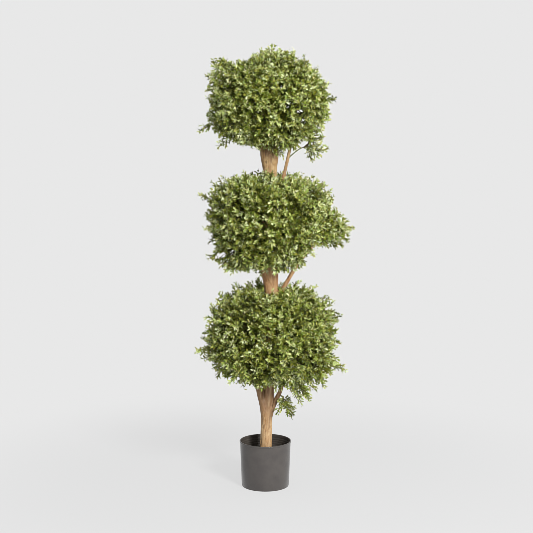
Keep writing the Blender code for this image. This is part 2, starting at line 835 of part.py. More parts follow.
# ---------------------------------------------------------------- assembly
def main():
    clear_scene()
    topiary = new_collection("potted_triple_ball_topiary")
    cutters = new_collection("cutters")
    plastic = material("pot_plastic", 0.075, 0.070, 0.066, 0.5)
    cement = material("weighted_fill", 0.030, 0.028, 0.026, 0.9)
    wood = material("bare_wood", 0.45, 0.28, 0.14, 0.6)
    foliage = material("leaf_green", 0.11, 0.19, 0.035, 0.55)

    make_pot(topiary, plastic)
    make_fill(topiary, cement)
    trunk = new_object("trunk", trunk_mesh("trunk"), topiary, wood)
    smooth(trunk, 60)

    fit_mesh = trunk_mesh("trunk_fit_cutter", grown=FIT_GAP, longer=FIT_GAP)
    fit_cutter = new_object("trunk_fit_cutter", fit_mesh, cutters)
    channel_mesh = trunk_mesh("trunk_channel_cutter", grown=CHANNEL, longer=CHANNEL)
    channel_cutter = new_object("trunk_channel_cutter", channel_mesh, cutters)
    bearing = {"trunk": fit_cutter}
    channels = [channel_cutter]
    for limb in LIMBS:
        made = limb_object(limb.name, limb.way, topiary, finish=wood)
        subtract(made, [bearing[limb.born_by]])
        keep_outer_body(made.data)
        smooth(made, 60)
        bearing[limb.name] = limb_object(limb.name + "_fit_cutter", limb.way, cutters, FIT_GAP)
        channels.append(limb_object(limb.name + "_channel_cutter", limb.way, cutters, CHANNEL))

    leaf = leaf_mesh()
    obstacles = Obstacles()
    for ball in BALLS:
        near = [cutter for cutter in channels if crosses_core(cutter, ball)]
        make_ball(ball, near, fit_cutter, obstacles, leaf, foliage, topiary)
    for tuft in TUFTS:
        make_tuft(tuft, bearing[tuft.bough], obstacles, leaf, foliage, topiary)

    for cutter in cutters.objects:
        cutter.hide_render = True
        cutter.display_type = "WIRE"


def crosses_core(cutter, ball):
    """True if any of a cutter's points lies in a ball's core or just outside it."""
    centre = Vector(ball.centre)
    for vert in cutter.data.vertices:
        offset = vert.co - centre
        if offset.length < core_reach(ball, offset.normalized()) + CORE_DEPTH / 2:
            return True
    return False


main()
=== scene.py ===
"""Looks of the potted triple ball topiary: an artificial patio tree with moulded leaves on bare wood.

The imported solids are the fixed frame. Each of them is replaced by a finished piece in the same place:
a moulded nursery pot, a cast cement fill, one peeled-wood trunk with its boughs, and for each ball or
tuft its boughs, twigs and leaves, which grow by the same seeded rule as the solids and are carried on
to fine sprigs. Metres, +Z up, -Y to the front. The origin is the middle of the pot's underside.
"""

import json
import logging
import math
import random
from collections.abc import Callable, Sequence
from dataclasses import dataclass, field
from enum import Enum

import bpy
import numpy as np
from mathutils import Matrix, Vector, noise

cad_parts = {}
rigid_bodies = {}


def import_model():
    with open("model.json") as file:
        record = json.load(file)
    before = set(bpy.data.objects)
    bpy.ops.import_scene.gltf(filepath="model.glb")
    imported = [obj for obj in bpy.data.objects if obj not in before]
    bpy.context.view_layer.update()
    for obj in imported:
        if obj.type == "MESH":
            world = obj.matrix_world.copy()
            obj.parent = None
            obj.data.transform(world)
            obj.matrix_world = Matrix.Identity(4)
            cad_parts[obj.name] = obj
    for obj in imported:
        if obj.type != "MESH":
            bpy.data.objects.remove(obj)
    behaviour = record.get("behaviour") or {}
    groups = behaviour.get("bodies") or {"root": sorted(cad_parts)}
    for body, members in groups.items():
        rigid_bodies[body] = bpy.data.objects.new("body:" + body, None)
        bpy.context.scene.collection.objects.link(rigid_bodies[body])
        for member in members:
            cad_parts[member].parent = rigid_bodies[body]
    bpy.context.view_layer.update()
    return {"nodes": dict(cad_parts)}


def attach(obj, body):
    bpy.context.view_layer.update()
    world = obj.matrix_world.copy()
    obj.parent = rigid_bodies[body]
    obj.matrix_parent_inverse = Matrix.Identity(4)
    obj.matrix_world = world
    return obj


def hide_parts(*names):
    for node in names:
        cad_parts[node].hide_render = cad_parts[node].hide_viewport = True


for start_object in list(bpy.data.objects):
    bpy.data.objects.remove(start_object)
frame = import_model()

log = logging.getLogger("topiary")

GOLDEN_ANGLE = math.pi * (3 - math.sqrt(5))
UP = np.array([0.0, 0.0, 1.0])
MM_PER_METRE = 1000
TINY = 1e-9  # keeps a length of nought from dividing by itself
NUDGE = 1e-6  # and a direction from having no length
SHARP_EDGE = math.radians(35)  # from this angle on, an edge isn't shaded smooth

Pair = tuple[float, float]
Triple = tuple[float, float, float]
Array = np.ndarray
Tree = bpy.types.NodeTree
Socket = bpy.types.NodeSocket


# ================================================================ materials
RGBA = {"data_type": "RGBA"}
FIRST_COLOUR, SECOND_COLOUR, MIXED_COLOUR = 6, 7, 2  # a colour mix's two inputs and its output


def hex_to_linear(code: str) -> tuple[float, float, float, float]:
    """Turns an sRGB hex colour to linear light.

    Args:
        code: six hex digits, such as "8a6f4c".

    Returns:
        Red, green, blue and an alpha of 1.
    """
    channels = []
    for start in (0, 2, 4):
        value = int(code[start : start + 2], 16) / 255
        channels.append(value / 12.92 if value <= 0.04045 else ((value + 0.055) / 1.055) ** 2.4)
    return (channels[0], channels[1], channels[2], 1.0)


def fill_inputs(tree: Tree, node: bpy.types.Node, inputs: dict[str | int, object]) -> None:
    """Gives a node's inputs their links, hex colours and plain values.

    Args:
        tree: the node's tree.
        node: the node.
        inputs: a value, a hex colour or an output socket for each input.
    """
    for name, value in inputs.items():
        if isinstance(value, Socket):
            tree.links.new(value, node.inputs[name])
        else:
            node.inputs[name].default_value = hex_to_linear(value) if isinstance(value, str) else value


def add_node(
    tree: Tree,
    kind: str,
    output: str | int,
    inputs: dict[str | int, object] | None = None,
    settings: dict[str, object] | None = None,
    stops: Sequence[tuple[float, str]] = (),
) -> Socket:
    """Adds a node with its settings and links.

    Args:
        tree: the material's node tree.
        kind: the node's type name after "ShaderNode", such as "TexNoise".
        output: which of its outputs is wanted.
        inputs: a value, a hex colour or an output socket for each input.
        settings: attributes of the node.
        stops: for a colour ramp, its places from 0 to 1, each with its hex colour.

    Returns:
        The output's socket.
    """
    node = tree.nodes.new(f"ShaderNode{kind}")
    for name, value in (settings or {}).items():
        setattr(node, name, value)
    fill_inputs(tree, node, inputs or {})
    while stops and len(node.color_ramp.elements) < len(stops):
        node.color_ramp.elements.new(0.5)
    for index, (place, code) in enumerate(stops):
        node.color_ramp.elements[index].position = place
        node.color_ramp.elements[index].color = hex_to_linear(code)
    return node.outputs[output]


def new_material(name: str) -> tuple[bpy.types.Material, Tree, bpy.types.Node, Socket]:
    """Starts a material.

    Args:
        name: the finish's common name.

    Returns:
        The material, its node tree, its Principled BSDF and its Object coordinates.
    """
    made = bpy.data.materials.new(name)
    made.use_nodes = True
    tree = made.node_tree
    return made, tree, tree.nodes["Principled BSDF"], add_node(tree, "TexCoord", "Object")


@dataclass(frozen=True)
class MouldedPolypropylene:
    """Injection-moulded black-grey polypropylene: a satin skin with a soft, cloudy sheen."""

    name: str = "moulded_polypropylene"
    colour: str = "484441"
    cloud: str = "423e3c"
    # painted shade: the inside wall's colour, darker than the skin
    inside: str = "3b352f"
    ior: float = 1.49
    roughness: float = 0.20
    duller: float = 0.06  # how much rougher the dull clouds are, and the bright ones smoother
    brighter: float = 0.05
    inside_roughness: float = 0.62
    cloud_mm: float = 35.0
    grain_mm: float = 1.2  # the real grain is finer; drawn as coarse as it needs to show
    grain_depth: float = 0.0004

    def build(self) -> bpy.types.Material:
        """Makes the material. It reads the attribute "inner_wall", where the skin is duller, and darker as
        painted shade inside the pot.

        Returns:
            The material.
        """
        made, tree, shader, place = new_material(self.name)
        clouds, grain = (
            add_node(
                tree,
                "TexNoise",
                "Fac",
                {"Vector": place, "Scale": MM_PER_METRE / size_mm, "Detail": detail},
            )
            for size_mm, detail in ((self.cloud_mm, 3.0), (self.grain_mm, 2.0))
        )
        tones = [(0.35, self.cloud), (0.65, self.colour)]
        skin = add_node(tree, "ValToRGB", "Color", {"Fac": clouds}, stops=tones)
        wall = add_node(tree, "Attribute", "Fac", settings={"attribute_name": "inner_wall"})
        # painted shade: the inner wall takes the darker inside colour
        halves = {"Factor": wall, FIRST_COLOUR: skin, SECOND_COLOUR: self.inside}
        low, high = self.roughness - self.brighter, self.roughness + self.duller
        gloss = add_node(tree, "MapRange", "Result", {"Value": clouds, "To Min": low, "To Max": high})
        glosses = {"Factor": wall, "A": gloss, "B": self.inside_roughness}
        relief = {"Height": grain, "Strength": 0.10, "Distance": self.grain_depth}
        surface = {
            "Base Color": add_node(tree, "Mix", MIXED_COLOUR, halves, RGBA),
            "Roughness": add_node(tree, "Mix", "Result", glosses),
            "Normal": add_node(tree, "Bump", "Normal", relief),
            "IOR": self.ior,
        }
        fill_inputs(tree, shader, surface)
        return made


@dataclass(frozen=True)
class CastCement:
    """Cement cast dark and left rough: a dull, grainy surface with paler crumbs."""

    name: str = "cast_cement"
    dark: str = "2a2622"
    pale: str = "4a433b"
    roughness: float = 0.92
    grit_mm: float = 2.5
    grit_depth: float = 0.0015

    def build(self) -> bpy.types.Material:
        """Makes the material, dull and gritty.

        Returns:
            The material.
        """
        made, tree, shader, place = new_material(self.name)
        noisy = {"Vector": place, "Scale": MM_PER_METRE / self.grit_mm, "Detail": 5.0, "Roughness": 0.7}
        grit = add_node(tree, "TexNoise", "Fac", noisy)
        tones = [(0.40, self.dark), (0.72, self.pale)]
        relief = {"Height": grit, "Strength": 0.7, "Distance": self.grit_depth}
        surface = {
            "Base Color": add_node(tree, "ValToRGB", "Color", {"Fac": grit}, stops=tones),
            "Roughness": self.roughness,
            "Normal": add_node(tree, "Bump", "Normal", relief),
        }
        fill_inputs(tree, shader, surface)
        return made


@dataclass(frozen=True)
class WoodMark:
    """Marks drawn out along the stems."""

    size_mm: float
    stretch: float  # their width over their length
    detail: float


@dataclass(frozen=True)
class PeeledWood:
    """Peeled hardwood stems, oiled: honey tan with brown grooves, short dark flecks and pale ridges, with
    painted shade in the fork's hollows and under the balls, and painted highlights on the ridges.
    """

    name: str = "peeled_wood"
    pale: str = "d4b88f"
    honey: str = "b89163"
    brown: str = "93683f"
    red_brown: str = "9c6e46"
    fleck: str = "7a5435"
    ridge_highlight: str = "ccb08c"
    groove_and_hollow_shade: str = "4a2f1e"
    knot: str = "3d2616"
    ior: float = 1.5
    roughness: float = 0.60
    grain_marks: WoodMark = WoodMark(3.0, 0.16, 6.0)
    fleck_marks: WoodMark = WoodMark(4.5, 0.32, 3.0)
    patch_marks: WoodMark = WoodMark(26.0, 0.30, 3.0)
    patch_share: float = 0.45  # how much of the tone comes from the broad patches
    fleck_share: float = 0.55
    red_share: float = 0.55
    ridge_highlight_share: float = 0.65
    grain_depth: float = 0.0012
    top_height: float = 1.5
    ageing_heights: Pair = (0.25, 0.8)  # between them the wood turns redder
    # painted shade under the three balls, partly also the wood's own browner tone: how dark the wood is
    # drawn at each height in metres, over its tone at the foot
    shade_and_tone_by_height: tuple[tuple[float, str], ...] = (
        (0.20, "e0dbd5"),
        (0.250, "bdb4a9"),
        (0.285, "998b7d"),
        (0.33, "a3968a"),
        (0.42, "c9c0b4"),
        (0.62, "f2eae0"),
        (0.70, "ddd3c8"),
        (0.78, "f2e4d8"),
        (0.84, "ffffff"),
        (1.16, "c1c0ab"),
    )

    def pattern(self, tree: Tree, place: Socket, marks: WoodMark) -> Socket:
        """A pattern of marks along the stems.

        Args:
            tree: the material's node tree.
            place: the Object coordinates.
            marks: the marks' size and shape.

        Returns:
            The pattern's value.
        """
        drawn_out = {"Vector": place, "Scale": (1.0, 1.0, marks.stretch)}
        noisy = {
            "Vector": add_node(tree, "Mapping", "Vector", drawn_out),
            "Scale": MM_PER_METRE / marks.size_mm,
            "Detail": marks.detail,
            "Roughness": 0.62,
            "Distortion": 0.3,
        }
        return add_node(tree, "TexNoise", "Fac", noisy)

    def build(self) -> bpy.types.Material:
        """Makes the material. It reads the marks that the relief leaves: grooves, which also carry painted
        shade in the hollows, ridges, which carry painted highlights, and knots.

        Returns:
            The material.
        """
        made, tree, shader, place = new_material(self.name)
        grain = self.pattern(tree, place, self.grain_marks)
        flecks = self.pattern(tree, place, self.fleck_marks)
        patches = self.pattern(tree, place, self.patch_marks)
        height = add_node(tree, "SeparateXYZ", "Z", {"Vector": place})
        groove_and_hollow_shade, ridge, knot = (
            add_node(tree, "Attribute", "Fac", settings={"attribute_name": name})
            for name in ("groove_and_hollow_shade", "ridge", "knot")
        )
        spans = (
            {"Value": height, "From Min": self.ageing_heights[0], "From Max": self.ageing_heights[1]},
            {"Value": patches, "From Min": 0.56, "From Max": 0.40, "To Max": self.red_share},
            {"Value": height, "From Max": self.top_height},
            {"Value": flecks, "From Min": 0.43, "From Max": 0.33, "To Max": self.fleck_share},
            {"Value": ridge, "To Max": self.ridge_highlight_share},
        )
        aged, red_patches, up_share, dashes, ridge_highlight = (
            add_node(tree, "MapRange", "Result", span) for span in spans
        )
        redder = add_node(tree, "Math", "Value", {0: aged, 1: red_patches}, {"operation": "MULTIPLY"})
        ramps = (
            (grain, [(0.32, self.brown), (0.47, self.honey), (0.64, self.pale)]),
            (patches, [(0.36, self.honey), (0.58, self.pale)]),
            (up_share, [(level / self.top_height, code) for level, code in self.shade_and_tone_by_height]),
        )
        lines, warm, height_shade = (
            add_node(tree, "ValToRGB", "Color", {"Fac": value}, stops=tones) for value, tones in ramps
        )
        wood, darkened = lines, RGBA | {"blend_type": "MULTIPLY"}
        layers = (
            (self.patch_share, warm, RGBA),
            (redder, self.red_brown, RGBA),
            # painted shade under the balls, partly the wood's browner tone, multiplied in by height
            (1.0, height_shade, darkened),
            (dashes, self.fleck, RGBA),
            # the grooves' brown together with painted shade in the fork's hollows, then painted highlights
            # on its ridges
            (groove_and_hollow_shade, self.groove_and_hollow_shade, RGBA),
            (ridge_highlight, self.ridge_highlight, RGBA),
            (knot, self.knot, RGBA),
        )
        for share, colour, settings in layers:
            halves = {"Factor": share, FIRST_COLOUR: wood, SECOND_COLOUR: colour}
            wood = add_node(tree, "Mix", MIXED_COLOUR, halves, settings)
        relief = {"Height": grain, "Strength": 0.5, "Distance": self.grain_depth}
        surface = {
            "Base Color": wood,
            "Roughness": self.roughness,
            "Normal": add_node(tree, "Bump", "Normal", relief),
            "IOR": self.ior,
        }
        fill_inputs(tree, shader, surface)
        return made


class Tint(Enum):
    """The greens that the leaves are moulded in, each with its fresh and its yellowed hex colour."""

    DEEP = ("41510a", "5b5a10")
    OLIVE = ("5b701a", "7c792b")
    MID = ("80973f", "9f9d51")
    FRESH = ("a0b366", "bab87d")
    TIP = ("b8c78e", "cdcca3")


@dataclass(frozen=True)
class MouldedLeaf:
    """Leaves moulded in coloured polyethylene: a waxy sheen, each leaf a little fresher or yellower."""

    tint: Tint
    ior: float = 1.51
    roughness: float = 0.35
    leaf_mm: float = 9.0

    def build(self) -> bpy.types.Material:
        """Makes the material of one tint.

        Returns:
            The material.
        """
        fresh, yellowed = self.tint.value
        made, tree, shader, place = new_material(f"moulded_leaf_{self.tint.name.lower()}")
        noisy = {"Vector": place, "Scale": MM_PER_METRE / self.leaf_mm, "Detail": 1.0}
        mottle = {"Fac": add_node(tree, "TexNoise", "Fac", noisy)}
        colour = add_node(tree, "ValToRGB", "Color", mottle, stops=[(0.36, fresh), (0.64, yellowed)])
        surface = {"Base Color": colour, "Roughness": self.roughness, "IOR": self.ior}
        fill_inputs(tree, shader, surface)
        return made


@dataclass(frozen=True)
class TwigSleeve:
    """Brown-green plastic drawn over wire: the dull stems that the leaves are moulded on."""

    name: str = "twig_sleeve"
    brown: str = "4a3a22"
    green: str = "56602c"
    roughness: float = 0.65
    patch_mm: float = 20.0

    def build(self) -> bpy.types.Material:
        """Makes the material, brown with green patches.

        Returns:
            The material.
        """
        made, tree, shader, place = new_material(self.name)
        noisy = {"Vector": place, "Scale": MM_PER_METRE / self.patch_mm, "Detail": 2.0}
        patches = {"Fac": add_node(tree, "TexNoise", "Fac", noisy)}
        tones = [(0.40, self.brown), (0.62, self.green)]
        colour = add_node(tree, "ValToRGB", "Color", patches, stops=tones)
        fill_inputs(tree, shader, {"Base Color": colour, "Roughness": self.roughness})
        return made


# ================================================================ modelling
def deselect_all() -> None:
    """Leaves nothing selected, so that an operator acts only on the new piece."""
    if bpy.context.object and bpy.context.object.mode != "OBJECT":
        bpy.ops.object.mode_set(mode="OBJECT")
    for other in bpy.context.scene.objects:
        other.select_set(False)


def finish_piece(
    piece: bpy.types.Object, finish: bpy.types.Material, nodes: list[str]
) -> bpy.types.Object:
    """Dresses a piece and hands it to the frame.

    Args:
        piece: the finished object, with its place in its mesh.
        finish: its material.
        nodes: the CAD nodes that it stands for.

    Returns:
        The piece.
    """
    piece.data.materials.clear()
    piece.data.materials.append(finish)
    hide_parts(*nodes)
    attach(piece, "root")
    log.info("%s: %d faces", piece.name, len(piece.data.polygons))
    return piece


def drawn_rings(name: str, profile: list[Pair], segments: int) -> bpy.types.Object:
    """Draws a disc's edge through a profile, ring by ring.

    Args:
        name: the piece's name.
        profile: the (radius, height) of each ring.
        segments: how many edges a ring has.

    Returns:
        The object, in edit mode with its last ring of edges selected.
    """
    deselect_all()
    radius, height = profile[0]
    bpy.ops.mesh.primitive_circle_add(vertices=segments, radius=radius, fill_type="NGON")
    piece = bpy.context.object
    piece.name = name
    bpy.ops.object.mode_set(mode="EDIT")
    bpy.ops.mesh.select_all(action="SELECT")
    bpy.ops.transform.translate(value=(0, 0, height))
    bpy.ops.mesh.select_mode(type="EDGE")
    for (old_radius, old_height), (radius, height) in zip(profile, profile[1:]):
        bpy.ops.mesh.extrude_edges_move(
            TRANSFORM_OT_translate={"value": (0, 0, height - old_height)}
        )
        share = radius / old_radius
        bpy.ops.transform.resize(value=(share, share, 1.0), center_override=(0, 0, height))
    return piece


def turn_profile(name: str, profile: list[Pair], segments: int) -> bpy.types.Object:
    """Models a closed turned piece.

    Args:
        name: the piece's name.
        profile: (radius, height) points, from the middle of one end to the middle of the other.
        segments: how many edges each ring has.

    Returns:
        A closed object with its normals outwards.
    """
    piece = drawn_rings(name, profile, segments)
    bpy.ops.mesh.edge_face_add()
    bpy.ops.mesh.select_all(action="SELECT")
    bpy.ops.mesh.normals_make_consistent(inside=False)
    bpy.ops.object.mode_set(mode="OBJECT")
    bpy.ops.object.shade_smooth_by_angle(angle=SHARP_EDGE)
    return piece


def rounded_corner(corner: Pair, size: float, start: float, end: float, steps: int) -> list[Pair]:
    """Points on an arc, for a profile's rounded corner.

    Args:
        corner: (radius, height) of the arc's centre.
        size: the arc's radius.
        start: the first angle in degrees, 0 outwards and 90 up.
        end: the last angle in degrees.
        steps: how many chords.

    Returns:
        The (radius, height) points.
    """
    points = []
    for step in range(steps + 1):
        angle = math.radians(start + (end - start) * step / steps)
        points.append((corner[0] + size * math.cos(angle), corner[1] + size * math.sin(angle)))
    return points


def set_attribute(piece: bpy.types.Object, name: str, values: Array) -> None:
    """Stores a value for each vertex, for the material to read."""
    layer = piece.data.attributes.new(name, "FLOAT", "POINT")
    layer.data.foreach_set("value", np.asarray(values, np.float32))


def vertex_rows(piece: bpy.types.Object, what: str = "co") -> Array:
    """Reads a vector for each vertex.

    Args:
        piece: the piece.
        what: "co" for the vertices' places, or "normal".

    Returns:
        Rows of x, y and z.
    """
    rows = np.zeros(len(piece.data.vertices) * 3)
    piece.data.vertices.foreach_get(what, rows)
    return rows.reshape(-1, 3)


def set_places(piece: bpy.types.Object, places: Array) -> None:
    """Moves the piece's vertices to rows of x, y and z."""
    piece.data.vertices.foreach_set("co", places.ravel())
    piece.data.update()


def ringed_cylinder(name: str, sides: int, cuts: int) -> tuple[bpy.types.Object, Array, Array]:
    """A cylinder cut in even rings, ready to be set along a stem.

    Args:
        name: the piece's name.
        sides: how many sides it has.
        cuts: how many rings are cut between its ends.

    Returns:
        The piece, and for each vertex its share of the length and its angle.
    """
    deselect_all()
    bpy.ops.mesh.primitive_cylinder_add(vertices=sides, radius=1.0, depth=1.0)
    piece = bpy.context.object
    piece.name = name
    for edge in piece.data.edges:
        ends = [piece.data.vertices[index].co.z for index in edge.vertices]
        edge.select = abs(ends[0] - ends[1]) > 0.5
    for part in (*piece.data.vertices, *piece.data.polygons):
        part.select = False
    bpy.ops.object.mode_set(mode="EDIT")
    bpy.ops.mesh.select_mode(type="EDGE")
    bpy.ops.mesh.subdivide(number_cuts=cuts)
    bpy.ops.object.mode_set(mode="OBJECT")
    places = vertex_rows(piece)
    return piece, places[:, 2] + 0.5, np.arctan2(places[:, 1], places[:, 0])


def link_object(name: str, data: bpy.types.ID) -> bpy.types.Object:
    """Adds an object to the scene.

    Args:
        name: the object's name.
        data: the mesh, lamp or camera that it shows.

    Returns:
        The object.
    """
    made = bpy.data.objects.new(name, data)
    bpy.context.scene.collection.objects.link(made)
    return made


def joined_mesh(name: str, corners: Array, triangles: Array) -> bpy.types.Object:
    """Makes one object from arrays, flat shaded so that each leaf's two halves show.

    Args:
        name: the object's name.
        corners: rows of x, y and z.
        triangles: rows of three corner numbers.

    Returns:
        The new object, linked to the scene.
    """
    mesh = bpy.data.meshes.new(name)
    mesh.vertices.add(len(corners))
    mesh.vertices.foreach_set("co", corners.ravel())
    mesh.loops.add(triangles.size)
    mesh.loops.foreach_set("vertex_index", triangles.ravel().astype(np.int32))
    mesh.polygons.add(len(triangles))
    mesh.polygons.foreach_set("loop_start", np.arange(0, triangles.size, 3, dtype=np.int32))
    mesh.update(calc_edges=True)
    return link_object(name, mesh)


# ================================================================ directions, curves and noise
def normalised(rows: Array) -> Array:
    """Rows of vectors, each made one long."""
    return rows / np.maximum(np.linalg.norm(rows, axis=-1, keepdims=True), TINY)


def sideways(ways: Array) -> Array:
    """A direction square to each way, and level unless the way is nearly upright."""
    nearly_upright = np.abs(ways[..., 2:3]) > 0.9
    return normalised(np.cross(ways, np.where(nearly_upright, np.array([1.0, 0.0, 0.0]), UP)))


def turned(first: Array, second: Array, angles: Array) -> Array:
    """Rows of vectors turned by an angle from a first direction towards a second one square to it."""
    return first * np.cos(angles)[:, None] + second * np.sin(angles)[:, None]


def golden_spiral(count: int, shakes: Array) -> Array:
    """Directions spread evenly over a ball from top to bottom.

    Args:
        count: how many directions.
        shakes: how far each is turned past its place, in radians.

    Returns:
        Rows of unit directions.
    """
    index = np.arange(count)
    up = 1 - 2 * (index + 0.5) / max(count, 1)
    level = np.sqrt(1 - up * up)
    angle = GOLDEN_ANGLE * index + shakes
    return np.column_stack([level * np.cos(angle), level * np.sin(angle), up])


def noise_at(points: Array, size: float, stretch: float = 1.0) -> Array:
    """Smooth noise from -1 to 1 at each point.

    Args:
        points: rows of x, y and z.
        size: how far apart the noise's bumps are.
        stretch: how many times longer they are along Z.

    Returns:
        One value for each row.
    """
    scaled = points / np.array([size, size, size * stretch])
    return np.array([noise.noise(Vector(row)) for row in scaled])


@dataclass(frozen=True)
class Arcs:
    """Quadratic arcs, each a row of its start, its middle control point and its end."""

    starts: Array
    controls: Array
    ends: Array

    def at(self, shares: Array) -> Array:
        """A point on each arc, or many on a single one, by how far along it is, from 0 to 1."""
        t = shares[:, None]
        return self.starts * (1 - t) ** 2 + self.controls * 2 * t * (1 - t) + self.ends * t * t

    def ways(self, shares: Array) -> Array:
        """The unit directions at those points."""
        t = shares[:, None]
        return normalised((self.controls - self.starts) * (1 - t) + (self.ends - self.controls) * t)

    def lines(self, shares: Array) -> Array:
        """Points along every arc, as (arc, point, xyz)."""
        count = len(self.starts)
        return np.stack([self.at(np.full(count, share)) for share in shares], axis=1)


# ================================================================ pot and fill
@dataclass
class NurseryPot:
    """The moulded pot: a tapered wall with a rolled lip and a flat underside."""

    height: float = 0.158
    rim_radius: float = 0.0883
    base_radius: float = 0.0812
    wall: float = 0.0026
    lip_out: float = 0.0012
    lip_height: float = 0.006
    lip_slope: float = 1.6  # how far down the lip's inside starts to round, in its own radii
    # the lip's lower edge, as (outwards, up) from the rim and the lip's bottom
    lip_edge: tuple[Pair, ...] = ((0.0, 0.0016), (-0.0004, 0.0006))
    lip_step: float = 0.0002
    lip_fade: float = 0.002
    lip_chords: int = 10
    floor: float = 0.005
    floor_round: float = 0.003
    foot_line: Pair = (0.0055, 0.0062)  # the heights between which the foot steps in
    foot_step: float = 0.0005
    foot_round: float = 0.0022
    foot_chords: int = 5
    under_ring: float = 0.75  # a ring of the underside, as a share of its radius
    hub: float = 0.004  # the radius from which the floor is drawn
    hub_ring: float = 0.006  # and a ring round it on the underside
    ring_depth: float = 0.0005  # the faint rings that the mould leaves inside
    ring_width: float = 0.0012
    ring_heights: tuple[float, ...] = (0.122, 0.130, 0.138, 0.146)
    segments: int = 160

    def outer(self, height: float) -> float:
        """The outside radius of the plain wall at a height."""
        taper = self.rim_radius - self.lip_out - self.base_radius
        return self.base_radius + taper * height / self.height

    def inner(self, height: float) -> float:
        """The inside radius of the plain wall at a height."""
        return self.outer(height) - self.wall

    def profile(self) -> list[Pair]:
        """Draws the wall's outline, from the middle of the floor over the lip to the underside.

        Returns:
            The (radius, height) points.
        """
        lip_bottom = self.height - self.lip_height
        corner = self.inner(self.floor)
        points = [(self.hub, self.floor), (corner - self.floor_round, self.floor)]
        points += [(corner, self.floor + self.floor_round)]
        for height in self.ring_heights:
            inner, half = self.inner(height), self.ring_width
            points += [(inner, height - half), (inner + self.ring_depth, height), (inner, height + half)]
        round_size = (self.rim_radius - self.inner(self.height)) / 2
        points += [(self.inner(self.height), self.height - round_size * self.lip_slope)]
        lip_middle = (self.rim_radius - round_size, self.height - round_size)
        points += rounded_corner(lip_middle, round_size, 180, 0, self.lip_chords)
        points += [(self.rim_radius + out, lip_bottom + up) for out, up in self.lip_edge]
        points += [(self.outer(lip_bottom) + self.lip_step, lip_bottom)]
        points += [(self.outer(lip_bottom - self.lip_fade), lip_bottom - self.lip_fade)]
        points += [(self.outer(self.height / 2), self.height / 2)]
        low, high = self.foot_line
        points += [(self.outer(high), high), (self.outer(low) - self.foot_step, low)]
        foot_middle = (self.outer(0) - self.foot_step - self.foot_round, self.foot_round)
        points += rounded_corner(foot_middle, self.foot_round, 0, -90, self.foot_chords)
        under = (self.base_radius * self.under_ring, self.hub_ring, self.hub)
        return points + [(radius, 0.0) for radius in under]

    def build(self) -> bpy.types.Object:
        """Models and dresses the pot.

        Returns:
            The pot.
        """
        pot = turn_profile("nursery_pot", self.profile(), self.segments)
        places = vertex_rows(pot)
        reach = np.hypot(places[:, 0], places[:, 1])
        wall_middle = self.outer(0) - self.wall / 2
        taper = (self.outer(self.height) - self.outer(0)) / self.height
        inner = (reach < wall_middle + taper * places[:, 2]) & (places[:, 2] > self.floor / 2)
        # marks the inner wall, which the finish makes duller and, as painted shade, darker
        set_attribute(pot, "inner_wall", inner.astype(float))
        return finish_piece(pot, MouldedPolypropylene().build(), ["pot"])


@dataclass
class CementFill:
    """The weighted fill: cement cast round the trunk's foot, rough on top."""

    pot: NurseryPot
    top: float = 0.116
    crown: float = 0.004
    flat_radius: float = 0.032
    hub: float = 0.003
    top_hub: float = 0.0032
    gap: float = 0.0006
    foot_bevel: Pair = (0.003, 0.004)
    foot_gap: float = 0.0035
    margin: float = 0.001  # how far from the edge and from the top the lumps stop
    lump: float = 0.0016
    # the lumps' sizes, each with its share
    lump_sizes: tuple[Pair, ...] = ((0.012, 0.6), (0.0045, 0.4))
    segments: int = 128
    rings: int = 22

    def build(self) -> bpy.types.Object:
        """Models and dresses the fill, with its top surface raised in small lumps.

        Returns:
            The fill.
        """
        bottom = self.pot.floor + self.gap
        edge = self.pot.inner(self.top) - self.gap
        low_edge = self.pot.inner(bottom) - self.foot_gap
        out, up = self.foot_bevel
        profile = [(self.hub, bottom), (low_edge, bottom), (low_edge + out, bottom + up)]
        for ring in range(self.rings + 1):
            radius = edge + (self.top_hub - edge) * ring / self.rings
            rise = self.crown * min(1.0, (edge - radius) / (edge - self.flat_radius))
            profile.append((radius, self.top + rise))
        fill = turn_profile("cement_fill", profile, self.segments)
        places = vertex_rows(fill)
        on_top = places[:, 2] > self.top - self.margin
        inside = np.hypot(places[:, 0], places[:, 1]) < edge - self.margin
        lumps = sum(noise_at(places, size) * share for size, share in self.lump_sizes)
        places[:, 2] += np.where(on_top & inside, lumps * self.lump - self.lump, 0.0)
        set_places(fill, places)
        return finish_piece(fill, CastCement().build(), ["pot_fill"])


# ================================================================ trunk and boughs
@dataclass(frozen=True)
class Station:
    """The trunk's middle, radius and flute depth at one height."""

    height: float
    x: float
    y: float
    radius: float
    flute: float


TRUNK_FOOT = 0.1203
TRUNK_STATIONS = (
    Station(TRUNK_FOOT, 0.0015, 0.000, 0.0206, 0.02),
    Station(0.235, 0.0045, 0.001, 0.0193, 0.03),
    Station(0.325, 0.0100, 0.002, 0.0198, 0.08),
    Station(0.500, 0.0150, 0.004, 0.0238, 0.05),
    Station(0.665, 0.0205, 0.001, 0.0225, 0.05),
    Station(0.775, 0.0135, -0.002, 0.0302, 0.12),
    Station(0.900, 0.0145, 0.000, 0.0245, 0.06),
    Station(1.070, 0.0155, 0.003, 0.0224, 0.05),
    Station(1.140, 0.0135, 0.001, 0.0294, 0.12),
    Station(1.240, 0.0120, 0.000, 0.0200, 0.06),
    Station(1.370, 0.0120, 0.002, 0.0090, 0.00),
)
TRUNK_TOP = TRUNK_STATIONS[-1].height
TRUNK_FLUTES = 3
GROOVE_FACES = math.radians(-90)


